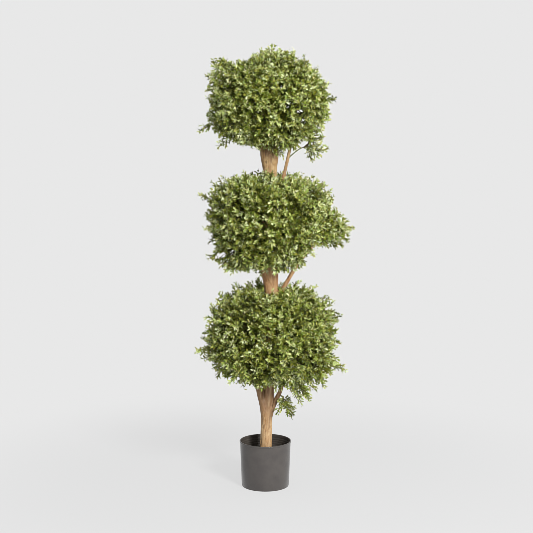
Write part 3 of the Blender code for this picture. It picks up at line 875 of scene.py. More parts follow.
@dataclass(frozen=True)
class Limb:
    """A bough: its way as (x, y, z, radius), from inside the limb that bears it to its tip."""

    node: str
    way: tuple[tuple[float, float, float, float], ...]

    def line(self, steps: int) -> Array:
        """Points on the smooth line through the way: a quadratic spline, as the solid's is.

        Args:
            steps: chords for each stretch between two control points.

        Returns:
            Rows of x, y, z and radius.
        """
        controls = [np.array(point) for point in self.way]
        rows = []
        for index in range(1, len(controls) - 1):
            first = controls[0] if index == 1 else (controls[index - 1] + controls[index]) / 2
            last_span = index == len(controls) - 2
            last = controls[-1] if last_span else (controls[index] + controls[index + 1]) / 2
            shares = np.arange(steps + last_span) / steps
            rows.append(Arcs(first[None], controls[index][None], last[None]).at(shares))
        return np.vstack(rows)


LIMBS = (
    Limb(
        "lower_left_bough",
        (
            (0.0040, -0.002, 0.232, 0.0125),
            (-0.0080, -0.009, 0.285, 0.0118),
            (-0.0200, -0.013, 0.330, 0.0102),
            (-0.0330, -0.018, 0.378, 0.0088),
        ),
    ),
    Limb(
        "lower_right_bough",
        (
            (0.0060, -0.002, 0.212, 0.0105),
            (0.0120, -0.005, 0.248, 0.0100),
            (0.0340, -0.009, 0.297, 0.0086),
            (0.0530, -0.013, 0.335, 0.0072),
            (0.0610, -0.015, 0.366, 0.0062),
        ),
    ),
    Limb(
        "lower_right_twig",
        (
            (0.0430, -0.010, 0.314, 0.0030),
            (0.0530, -0.017, 0.321, 0.0030),
            (0.0600, -0.022, 0.314, 0.0030),
        ),
    ),
    Limb(
        "middle_right_bough",
        (
            (0.0200, -0.002, 0.622, 0.0090),
            (0.0555, -0.009, 0.677, 0.0074),
            (0.0986, -0.013, 0.7555, 0.0068),
            (0.1370, -0.013, 0.806, 0.0050),
            (0.1680, -0.010, 0.842, 0.0040),
        ),
    ),
    Limb(
        "upper_right_bough",
        (
            (0.0150, -0.001, 0.905, 0.0078),
            (0.0430, -0.008, 0.990, 0.0068),
            (0.0630, -0.010, 1.070, 0.0062),
            (0.0800, -0.010, 1.146, 0.0055),
            (0.0870, -0.009, 1.182, 0.0050),
        ),
    ),
    Limb(
        "upper_right_twig",
        (
            (0.0770, -0.010, 1.1250, 0.0026),
            (0.0980, -0.014, 1.1450, 0.0026),
            (0.1150, -0.017, 1.1560, 0.0026),
        ),
    ),
)


def trunk_at(heights: Array) -> tuple[Array, Array, Array]:
    """The trunk at some heights, eased between its stations as the solid is.

    Args:
        heights: heights above the pot's underside.

    Returns:
        The middles as rows of x, y and z, the radii, and the flute depths.
    """
    table = np.array([[s.height, s.x, s.y, s.radius, s.flute] for s in TRUNK_STATIONS])
    level = np.clip(heights, TRUNK_FOOT, TRUNK_TOP)
    low = np.clip(np.searchsorted(table[:, 0], level, side="right") - 1, 0, len(table) - 2)
    share = (level - table[low, 0]) / (table[low + 1, 0] - table[low, 0])
    ease = (share * share * (3 - 2 * share))[:, None]
    row = table[low] + (table[low + 1] - table[low]) * ease
    middles = np.column_stack([row[:, 1], row[:, 2], level])
    return middles, row[:, 3], row[:, 4]


class LimbSpace:
    """The room that the trunk and boughs take up, for leaves and twigs to keep clear of."""

    beads_a_span: int = 10
    beads_at_once: int = 16  # keeps the arrays of distances small

    def __init__(self) -> None:
        """Strings beads along every bough."""
        self.beads = np.vstack([limb.line(self.beads_a_span) for limb in LIMBS])

    def clearance(self, points: Array) -> Array:
        """Measures how far points are from the wood.

        Args:
            points: rows of x, y and z.

        Returns:
            Each one's distance from the nearest limb's surface, less than 0 inside it.
        """
        middles, radii, flutes = trunk_at(points[:, 2])
        flat = np.hypot(points[:, 0] - middles[:, 0], points[:, 1] - middles[:, 1])
        above = np.maximum(points[:, 2] - TRUNK_TOP, 0.0)
        nearest = np.hypot(flat, above) - radii * (1 + flutes)
        for start in range(0, len(self.beads), self.beads_at_once):
            block = self.beads[start : start + self.beads_at_once]
            gaps = np.linalg.norm(points[:, None, :] - block[None, :, :3], axis=2) - block[None, :, 3]
            nearest = np.minimum(nearest, gaps.min(axis=1))
        return nearest

    def pushed_out(self, points: Array, gap: float) -> Array:
        """Moves points that are in the trunk, or too near it, level outwards.

        Args:
            points: rows of x, y and z.
            gap: the least distance from the trunk's surface.

        Returns:
            The points, moved where they need it.
        """
        middles, radii, flutes = trunk_at(points[:, 2])
        aside = points[:, :2] - middles[:, :2]
        flat = np.maximum(np.linalg.norm(aside, axis=1), NUDGE)
        least = np.where(points[:, 2] > TRUNK_TOP + gap, 0.0, radii * (1 + flutes) + gap)
        grow = np.maximum(least / flat, 1.0)
        return np.column_stack([middles[:, :2] + aside * grow[:, None], points[:, 2]])


@dataclass(frozen=True)
class Crease:
    """A hollow or a ridge down the front of the stems, where two of them have grown together. A hollow is
    also drawn darker as painted shade, and a ridge paler as a painted highlight.
    """

    top: Pair  # x and z
    foot: Pair
    width: float
    depth: float  # below zero for a ridge
    past_top: float = 1.15  # where it ends, as a share of the way from foot to top
    foot_fade: float = 4
    top_fade: float = 5

    def strength(self, places: Array) -> Array:
        """Fades the crease out at both ends and sideways.

        Args:
            places: rows of x, y and z.

        Returns:
            How strongly it marks each of them, from 0 to 1.
        """
        (top_x, top_z), (foot_x, foot_z) = self.top, self.foot
        share = (places[:, 2] - foot_z) / (top_z - foot_z)
        away = places[:, 0] - (foot_x + (top_x - foot_x) * share)
        ends = np.clip(share * self.foot_fade, 0, 1) * np.clip((self.past_top - share) * self.top_fade, 0, 1)
        return np.exp(-((away / self.width) ** 2)) * ends * (places[:, 1] < 0)


@dataclass(frozen=True)
class Grain:
    """A pattern of noise on the wood: its size, how drawn out it is, and a shift from the others."""

    size: float
    stretch: float
    shift: float = 0.0

    def at(self, points: Array) -> Array:
        """The noise at each point, from -1 to 1."""
        return noise_at(points + self.shift, self.size, self.stretch)


@dataclass
class WoodenFrame:
    """The trunk and its boughs: peeled stems fused at their forks, with grooves and small knots."""

    trunk_sides: int = 72
    trunk_rings: int = 500
    bough_sides: int = 24
    bough_steps: int = 24
    swell: float = 0.30
    swell_length: float = 0.05
    voxel: float = 0.0018
    smoothing: float = 0.5
    smoothing_rounds: int = 4
    groove_grain: Grain = Grain(0.011, 11)
    crack_grain: Grain = Grain(0.0045, 7, 3.7)
    ripple_grain: Grain = Grain(0.020, 2.2, 9.1)
    groove_sharpness: float = 7
    groove_taper: float = 1.5
    crack_sharpness: float = 6
    crack_share: float = 0.45
    groove_depth: float = 0.0016
    crack_depth: float = 0.00096
    ripple_depth: float = 0.0009
    groove_mark: float = 0.5  # how dark the grooves and the cracks are drawn
    crack_mark: float = 0.45
    # how strong the lines and the painted highlights on the ridges are drawn, and how much the ripples
    # change that
    line_strength: Pair = (0.5, 1.6)
    faintest_line: float = 0.1
    ridge_highlight_strength: Pair = (0.7, 0.9)
    creases: tuple[Crease, ...] = (
        Crease((-0.0045, 0.362), (-0.0077, 0.292), 0.0042, 0.0042),
        Crease((0.0190, 0.350), (0.0107, 0.276), 0.0034, -0.0016),
        Crease((0.0300, 0.330), (0.0200, 0.266), 0.0030, 0.0022),
        Crease((0.0120, 0.372), (0.0060, 0.322), 0.0024, 0.0014),
        Crease((-0.0180, 0.345), (-0.0150, 0.290), 0.0028, -0.0006),
    )
    highest_ridge: float = -0.0016
    knots: tuple[Triple, ...] = (
        (-0.0080, -0.0185, 0.205),
        (0.0330, -0.0150, 0.700),
        (0.0020, -0.0240, 1.110),
    )
    knot_size: float = 0.0042
    knot_depth: float = 0.0012
    knot_shape: Triple = (1, 1, 0.7)  # drawn out along the stem
    knot_rim: float = 1.25
    plain_foot: float = 0.004  # how high up the foot the relief fades in
    twig_slimming: float = 0.55

    def trunk(self) -> bpy.types.Object:
        """The bare trunk: a ringed cylinder set to the trunk's fluted outline.

        Returns:
            A closed mesh object.
        """
        trunk, along, angles = ringed_cylinder("trunk_stem", self.trunk_sides, self.trunk_rings)
        heights = TRUNK_FOOT + along * (TRUNK_TOP - TRUNK_FOOT)
        middles, radii, flutes = trunk_at(heights)
        reach = radii * (1 - flutes * np.cos(TRUNK_FLUTES * (angles - GROOVE_FACES)))
        around = np.column_stack([np.cos(angles), np.sin(angles), np.zeros(len(angles))])
        set_places(trunk, middles + around * reach[:, None])
        return trunk

    def bough(self, limb: Limb) -> bpy.types.Object:
        """One bough: a ringed cylinder set along its line, swelling where it leaves its bearer.

        Args:
            limb: the bough's way.

        Returns:
            A closed mesh object.
        """
        line = limb.line(self.bough_steps)
        bough, along, angles = ringed_cylinder(limb.node, self.bough_sides, len(line) - 2)
        ring = np.clip(np.rint(along * (len(line) - 1)), 0, len(line) - 1).astype(int)
        way = normalised(np.gradient(line[:, :3], axis=0))
        across = normalised(np.cross(way, np.array([0.0, -1.0, 0.0])))
        beside = np.cross(way, across)
        run = np.concatenate([[0.0], np.cumsum(np.linalg.norm(np.diff(line[:, :3], axis=0), axis=1))])
        radii = line[:, 3] * (1 + self.swell * np.exp(-((run / self.swell_length) ** 2)))
        around = turned(across[ring], beside[ring], angles)
        set_places(bough, line[ring, :3] + around * radii[ring][:, None])
        return bough

    def relief(self, wood: bpy.types.Object) -> None:
        """Presses grooves, ripples and knots into the wood, and marks them for the finish, with painted
        shade in the hollows and painted highlights on the ridges.

        Args:
            wood: the fused trunk and boughs.
        """
        places, normals = vertex_rows(wood), vertex_rows(wood, "normal")
        leaned = places.copy()
        middles, _, _ = trunk_at(places[:, 2])
        leaned[:, :2] -= middles[:, :2]
        broad, fine = self.groove_grain.at(leaned), self.crack_grain.at(leaned)
        ripple = self.ripple_grain.at(leaned)
        groove_and_hollow_shade = np.clip(1 - np.abs(broad) * self.groove_sharpness, 0, 1) ** self.groove_taper
        crack = np.clip(1 - np.abs(fine) * self.crack_sharpness, 0, 1) ** 2 * self.crack_share
        depth = groove_and_hollow_shade * self.groove_depth + crack * self.crack_depth - ripple * self.ripple_depth
        marks = np.zeros(len(places))
        for knot in self.knots:
            distance = np.linalg.norm((places - np.array(knot)) * np.array(self.knot_shape), axis=1)
            marks = np.maximum(marks, np.clip(self.knot_rim - distance / self.knot_size, 0, 1))
        depth += marks * self.knot_depth
        ridge = np.zeros(len(places))
        # painted shade: a crease's hollow is marked dark like a groove; painted highlight: a ridge is marked
        # pale
        for crease in self.creases:
            strength = crease.strength(places)
            depth += strength * crease.depth
            if crease.depth > 0:
                groove_and_hollow_shade = np.maximum(groove_and_hollow_shade, strength)
            else:
                height = strength * crease.depth / self.highest_ridge
                ridge = np.maximum(ridge, height * np.clip(self.ridge_highlight_strength[0] + ripple * self.ridge_highlight_strength[1], 0, 1))
        clear = np.clip((places[:, 2] - TRUNK_FOOT) / self.plain_foot, 0, 1)
        places -= normals * (depth * clear)[:, None]
        set_places(wood, places)
        plain, changing = self.line_strength
        broken = np.clip(plain + ripple * changing, self.faintest_line, 1)  # into shorter lines
        drawn = groove_and_hollow_shade * self.groove_mark + crack * self.crack_mark
        set_attribute(wood, "groove_and_hollow_shade", np.clip(drawn * broken, 0, 1))
        set_attribute(wood, "knot", marks)
        set_attribute(wood, "ridge", ridge)

    def build(self) -> bpy.types.Object:
        """Fuses the trunk and boughs, softens their forks, adds the relief and dresses the wood.

        Returns:
            The wooden piece.
        """
        boughs = [limb for limb in LIMBS if not limb.node.endswith("twig")]
        stems = [self.trunk()] + [self.bough(limb) for limb in boughs]
        deselect_all()
        for stem in stems:
            stem.select_set(True)
        bpy.context.view_layer.objects.active = stems[0]
        bpy.ops.object.join()
        wood = bpy.context.object
        wood.name = "peeled_trunk_and_boughs"
        fuse = wood.modifiers.new("fuse", "REMESH")
        fuse.mode = "VOXEL"
        fuse.voxel_size = self.voxel
        bpy.ops.object.modifier_apply(modifier=fuse.name)
        soften = wood.modifiers.new("soften", "SMOOTH")
        soften.factor = self.smoothing
        soften.iterations = self.smoothing_rounds
        bpy.ops.object.modifier_apply(modifier=soften.name)
        self.relief(wood)
        bpy.ops.object.shade_smooth()
        nodes = ["trunk"] + [limb.node for limb in boughs]
        return finish_piece(wood, PeeledWood().build(), nodes)

    def side_twigs(self, bark: bpy.types.Material) -> None:
        """Models the two thin twigs that carry the loose tufts, each a piece of its own.

        Args:
            bark: their material.
        """
        for limb in LIMBS:
            if limb.node.endswith("twig"):
                slim = tuple((x, y, z, radius * self.twig_slimming) for x, y, z, radius in limb.way)
                twig = self.bough(Limb(limb.node, slim))
                twig.name = f"{limb.node}_stem"
                bpy.ops.object.shade_smooth()
                finish_piece(twig, bark, [limb.node])


# ================================================================ leaves and twigs
@dataclass(frozen=True)
class LeafShape:
    """One moulded leaf: an oval of six faces, folded along its middle and drooping at its tip."""

    # along the leaf, across it and up, each as a share of its length or width
    points: tuple[Triple, ...] = (
        (0.00, 0.00, 0.00),
        (0.27, 0.38, 0.10),
        (0.68, 0.43, 0.09),
        (1.00, 0.00, -0.07),
        (0.68, -0.43, 0.09),
        (0.27, -0.38, 0.10),
        (0.50, 0.00, 0.00),
    )
    faces: tuple[tuple[int, int, int], ...] = (
        (0, 6, 1),
        (1, 6, 2),
        (2, 6, 3),
        (3, 6, 4),
        (4, 6, 5),
        (5, 6, 0),
    )


@dataclass
class LeafStock:
    """Leaves gathered for one piece of one tint, then made as a single joined mesh."""

    rows: list[tuple[Array, ...]] = field(default_factory=list)

    def add(self, roots: Array, ways: Array, ups: Array, lengths: Array) -> None:
        """Adds rows of leaves: where each is rooted, its direction, its upper side and its length."""
        self.rows.append((roots, ways, ups, lengths))

    def mesh(self, name: str, slimness: float) -> bpy.types.Object:
        """Joins the leaves into one mesh object.

        Args:
            name: the piece's name.
            slimness: a leaf's width over its length.

        Returns:
            The new object.
        """
        shape = LeafShape()
        sizes = np.array(shape.points) * (1.0, slimness, 1.0)
        roots, ways, ups, lengths = (np.concatenate(part) for part in zip(*self.rows))
        sides = (ways, np.cross(ups, ways), ups)
        offsets = sum(side[:, None] * sizes[None, :, [axis]] for axis, side in enumerate(sides))
        corners = roots[:, None] + offsets * lengths[:, None, None]
        first_corners = np.arange(len(roots)) * len(sizes)
        faces = np.array(shape.faces)[None] + first_corners[:, None, None]
        return joined_mesh(name, corners.reshape(-1, 3), faces.reshape(-1, 3))


@dataclass
class TwigStock:
    """Twigs gathered for one piece: each a row of points with radii, made as three-sided tubes."""

    rows: list[tuple[Array, Array]] = field(default_factory=list)

    def add(self, lines: Array, radii: Array) -> None:
        """Adds twigs, as (twig, point, xyz) rows and the radius at each point along them."""
        self.rows.append((lines, radii))

    def bear(self, arcs: Arcs, points: int, thick: float, thin: float, end: float = 1.0) -> None:
        """Adds a tapering twig along each arc.

        Args:
            arcs: the twigs' ways.
            points: how many rings each has.
            thick: the radius at the start.
            thin: the radius at the tip.
            end: how far along its arc each twig goes, from 0 to 1.
        """
        self.add(arcs.lines(np.linspace(0, end, points)), np.linspace(thick, thin, points))

    def mesh(self, name: str) -> bpy.types.Object:
        """Joins the twigs into one mesh object.

        Args:
            name: the piece's name.

        Returns:
            The new object.
        """
        sides = 3  # so that each end is a single triangle
        angles = np.arange(sides) * (math.tau / sides)
        corners, triangles, made = [], [], 0
        for lines, radii in self.rows:
            tangents = normalised(np.gradient(lines, axis=1))
            first = sideways(tangents)
            ring = turned(first[:, :, None], np.cross(tangents, first)[:, :, None], angles)
            tube = lines[:, :, None] + ring * radii[None, :, None, None]
            corners.append(tube.reshape(-1, 3))
            numbers = made + np.arange(tube.size // 3).reshape(tube.shape[:3])
            beside = np.roll(numbers, -1, axis=2)
            quads = [numbers[:, :-1], beside[:, :-1], beside[:, 1:], numbers[:, 1:]]
            quads = np.stack(quads, axis=-1).reshape(-1, 4)
            triangles += [quads[:, [0, 1, 2]], quads[:, [0, 2, 3]]]
            triangles += [numbers[:, 0, ::-1], numbers[:, -1]]
            made += tube.size // 3
        return joined_mesh(name, np.vstack(corners), np.vstack(triangles))


@dataclass(frozen=True)
class SprigHabit:
    """How a sprig carries its leaves: opposite pairs, each a quarter turn from the last."""

    pairs: int = 8
    pair_spacing: float = 0.0074
    pair_shake: float = 0.012  # as a share of the sprig's length
    tip_gap: float = 0.002  # from the tip to the first pair
    shortest: float = 0.01
    lowest_pair: float = 0.04  # the share of its length from which it bears leaves
    tip_lengths: tuple[float, ...] = (0.0108, 0.0140, 0.0158, 0.0165)
    full_length: float = 0.0164
    sprig_sizes: Pair = (0.86, 1.12)  # how far its leaves' lengths differ from another sprig's
    leaf_sizes: Pair = (0.85, 1.12)  # and from each other
    tip_angles: tuple[float, ...] = (24, 38, 45, 49)
    full_angle: float = 52
    angle_spread: float = 12
    roll_spread: float = 34
    turn_shake: float = 0.16
    slimness: float = 0.44
    stem_radius: float = 0.0007
    stem_taper: Pair = (1.6, 0.7)
    stem_rings: int = 5
    stem_room: float = 0.7  # how much of a stem has to lie in its plant's space
    stem_clear: float = 0.0005  # how far a stem and a leaf keep from the trunk and boughs
    leaf_clear: float = 0.0015
    patch_size: float = 0.055  # how far apart the lighter and darker patches of foliage are
    patch_share: float = 0.45
    tint_levels: Pair = (0.24, 0.70)  # from which a sprig is olive, and from which it is mid green
    bright_share: float = 0.42  # how many sprigs have brighter tips
    tint_shake: float = 0.55

    def leaf_length(self, pair: int) -> float:
        """A pair's leaf length, counted from the tip."""
        return self.tip_lengths[pair] if pair < len(self.tip_lengths) else self.full_length

    def leaf_angle(self, pair: int) -> float:
        """A pair's angle to its stem in radians, counted from the tip."""
        degrees = self.tip_angles[pair] if pair < len(self.tip_angles) else self.full_angle
        return math.radians(degrees)


@dataclass(frozen=True)
class FrondHabit:
    """How a long twig ends in one sprig and bears others along its sides."""

    stem_rings: int = 7
    stem_radii: Pair = (0.0015, 0.0007)
    stem_end: float = 0.92  # this and the next three say how far along the frond's arc, from 0 to 1
    end_sprig: float = 0.55
    end_bend: float = 0.8
    last_sprig: float = 0.86
    last_size: float = 0.5  # the last side sprig's length over the first's
    size_spread: Pair = (0.85, 1.15)
    lean: float = 1e-4  # off upright, so that an upright frond has a side too
    outwards: float = 0.75
    bend_along: float = 0.4
    bend_out: float = 0.35


@dataclass
class Foliage:
    """The leaves and twigs of one ball or tuft, gathered by tint."""

    node: str
    seed: int
    limbs: LimbSpace
    room: Callable[[Array], Array]
    # painted shade: how far the foliage keeps to the deep tints because it hangs in shade
    painted_shade: float = 0.0  # how much of it keeps to the deep tints
    habit: SprigHabit = SprigHabit()
    frond_habit: FrondHabit = FrondHabit()
    leaves: dict[Tint, LeafStock] = field(default_factory=lambda: {tint: LeafStock() for tint in Tint})
    twigs: TwigStock = field(default_factory=TwigStock)
    count: int = 0

    def __post_init__(self) -> None:
        """Starts the random draws."""
        self.draw = np.random.default_rng(self.seed)

    def stems(self, arcs: Arcs) -> Array:
        """Adds the stems of the sprigs that have room.

        Args:
            arcs: the sprigs' ways.

        Returns:
            True for each sprig that has room.
        """
        habit = self.habit
        lines = arcs.lines(np.linspace(0, 1, habit.stem_rings))
        count, points = len(lines), lines.reshape(-1, 3)
        keep = self.room(points).reshape(count, -1).mean(axis=1) > habit.stem_room
        clearance = self.limbs.clearance(points).reshape(count, -1)
        keep &= clearance.min(axis=1) > habit.stem_clear
        self.twigs.add(lines[keep], np.linspace(*habit.stem_taper, habit.stem_rings) * habit.stem_radius)
        return keep

    def sprigs(self, arcs: Arcs, in_shade: bool = False) -> None:
        """Grows sprigs along arcs and hangs their leaves.

        Args:
            arcs: where each sprig's stem leaves its twig, how it bends and where it ends.
            in_shade: True for inner sprigs, which keep the deep tints as painted shade and have no bright
                tips.
        """
        habit, draw, count = self.habit, self.draw, len(arcs.starts)
        chord = np.linalg.norm(arcs.ends - arcs.starts, axis=1)
        patch = noise_at(arcs.ends, habit.patch_size) * habit.patch_share
        level = draw.random(count) + patch - self.painted_shade
        sprig_tint = sum((level > least).astype(int) for least in habit.tint_levels)
        if in_shade:
            # painted shade: inner sprigs keep the two deepest tints, as the ball's inside lies in shade
            sprig_tint = np.minimum(sprig_tint, 1)
        tip_bright = draw.random(count) < habit.bright_share
        turn = draw.uniform(0, math.tau, count)
        size = draw.uniform(*habit.sprig_sizes, count)
        keep = self.stems(arcs)
        for pair in range(habit.pairs):
            from_tip = pair * habit.pair_spacing + habit.tip_gap
            share = 1 - from_tip / np.maximum(chord, habit.shortest)
            share += draw.normal(0, habit.pair_shake, count)
            grown = keep & (share > habit.lowest_pair)
            share = np.clip(share, 0.0, 1.0)
            place, way = arcs.at(share), arcs.ways(share)
            aside = sideways(way)
            beside = np.cross(way, aside)
            for half in (0, 1):
                angle = turn + pair * math.pi / 2 + half * math.pi
                out = turned(aside, beside, angle + draw.normal(0, habit.turn_shake, count))
                lean = habit.leaf_angle(pair) + np.radians(draw.normal(0, habit.angle_spread, count))
                leaf_way, up = turned(way, out, lean), turned(-out, way, lean)
                roll = np.radians(draw.normal(0, habit.roll_spread, count))
                up = turned(up, np.cross(up, leaf_way), roll)
                length = habit.leaf_length(pair) * size * draw.uniform(*habit.leaf_sizes, count)
                tint = sprig_tint
                if not in_shade:
                    lighter = (pair < 2) * (1 + tip_bright) + (pair in (2, 3)) * tip_bright
                    tint = tint + lighter + np.rint(draw.normal(0, habit.tint_shake, count)).astype(int)
                self.hang(place, leaf_way, up, length, np.clip(tint, 0, len(Tint) - 1), grown)

    def frond(
        self, root: Array, bend: Array, tip: Array, side_sprigs: int, length: float, first: float
    ) -> None:
        """Grows one long twig that ends in a sprig and bears side sprigs in turn.

        Args:
            root: where the twig starts.
            bend: its middle control point.
            tip: where its last sprig ends.
            side_sprigs: how many sprigs it bears.
            length: how long the first of them is; the last is half as long.
            first: how far along the twig the first of them is, from 0 to 1.
        """
        habit, arc = self.frond_habit, Arcs(root[None], bend[None], tip[None])
        self.twigs.bear(arc, habit.stem_rings, *habit.stem_radii, end=habit.stem_end)
        along = np.concatenate([[habit.end_sprig], np.linspace(first, habit.last_sprig, side_sprigs)])
        count = len(along)
        starts, ways = arc.at(along), arc.ways(along)
        aside = normalised(np.cross(ways, UP + habit.lean))
        turns = GOLDEN_ANGLE * np.arange(count) + self.draw.uniform(0, math.tau)
        out = turned(aside, np.cross(ways, aside), turns)
        sizes = np.linspace(1.0, habit.last_size, count) * length
        sizes = (sizes * self.draw.uniform(*habit.size_spread, count))[:, None]
        ends = starts + normalised(ways + out * habit.outwards) * sizes
        controls = starts + ways * (sizes * habit.bend_along) + out * (sizes * habit.bend_out)
        ends[0], controls[0] = tip, arc.at(np.array([habit.end_bend]))[0]
        self.sprigs(Arcs(starts, controls, ends))

    def hang(
        self, place: Array, way: Array, up: Array, length: Array, tint: Array, grown: Array
    ) -> None:
        """Adds the leaves that have room.

        Args:
            place: where each leaf is rooted.
            way: its direction.
            up: its upper side.
            length: its length.
            tint: its tint's number.
            grown: False for a leaf that its sprig is too short for.
        """
        tip = place + way * length[:, None]
        middle = place + way * (length * 0.5)[:, None]
        fits = grown & self.room(tip)
        for point in (tip, middle):
            fits &= self.limbs.clearance(point) > self.habit.leaf_clear
        for number, stock in enumerate(self.leaves.values()):
            rows = fits & (tint == number)
            stock.add(place[rows], way[rows], up[rows], length[rows])
        self.count += int(fits.sum())

    def dress(self, finishes: dict[Tint, bpy.types.Material], bark: bpy.types.Material) -> None:
        """Makes the pieces of leaves, one a tint, and of twigs, and hands them to the frame.

        Args:
            finishes: the leaves' material for each tint.
            bark: the twigs' material.
        """
        for tint, stock in self.leaves.items():
            piece = stock.mesh(f"{self.node}_leaves_{tint.name.lower()}", self.habit.slimness)
            finish_piece(piece, finishes[tint], [self.node])
        finish_piece(self.twigs.mesh(f"{self.node}_twigs"), bark, [self.node])
        log.info("%s: %d leaves", self.node, self.count)


# ================================================================ balls and tufts
@dataclass(frozen=True)
class Lobe:
    """A place where a ball's outline stands out or falls back: its direction, gain and width."""

    way: Triple
    gain: float
    width: float  # radians


@dataclass(frozen=True)
class Lane:
    """A narrow way from front to back where the foliage is thin and lets the light through."""

    across: float  # x at the ball's middle
    height: float  # z there
    radius: float
    rise: float = 0.0  # how far it climbs for each metre from front to back

    def holds(self, points: Array) -> Array:
        """True for each point in the lane."""
        height = points[:, 2] - self.height - self.rise * points[:, 1]
        return np.hypot(points[:, 0] - self.across, height) < self.radius


@dataclass(frozen=True)
class Branching:
    """How every ball branches, from its boughs by its twigs to its sprigs."""

    bough_share: float = 0.42  # how far out boughs and twigs end, as shares of the reach
    bough_radii: Pair = (0.0042, 0.0024)
    bough_clear: float = 0.012  # how far a bough's tip keeps from the trunk
    bough_rise: float = 0.012
    root_share: float = 0.7  # how much of its tip's height over the ball's middle its root has
    root_drop: float = 0.03
    root_depth: float = 0.8  # how far out in the trunk it starts, as a share of the trunk's radius
    twig_rings: int = 6  # as many on the boughs
    twig_share: float = 0.66
    twig_share_shake: Pair = (-0.06, 0.05)
    twig_shake: float = 0.10
    twig_radii: Pair = (0.0023, 0.0013)
    twig_clear: float = 0.008
    twig_bow: float = 0.02
    sprig_turn: float = 9  # how much the sprigs' turns differ from side to side of the ball
    sprig_turn_shake: float = 0.3
    fan_shake: Pair = (0.8, 1.2)
    clipped: float = 0.14  # how deep under the surface a sprig may end, as a share of the reach
    longer: Pair = (0.02, 0.12)  # how far the long ones stand out, as shares of the reach
    furthest_back: float = 0.45  # how far back along its twig a sprig may start
    sprig_bow: float = 0.010
    sprig_sway: float = 0.009
    curl_slope: float = 1.6
    curl_level: float = 0.45
    inner_turn: float = 1.7
    inner_lean: float = 0.7
    inner_lengths: Pair = (0.035, 0.055)
    inner_clear: float = 0.004
    inner_bow: float = 0.004
    stray_rise: float = 0.006
    stray_sprigs: int = 8
    stray_sprig_length: float = 0.036
    stray_first_sprig: float = 0.42
    stray_cone: float = 0.96  # the least cosine of the angle at which a point is on a stray's way
    stray_end: float = 1.01


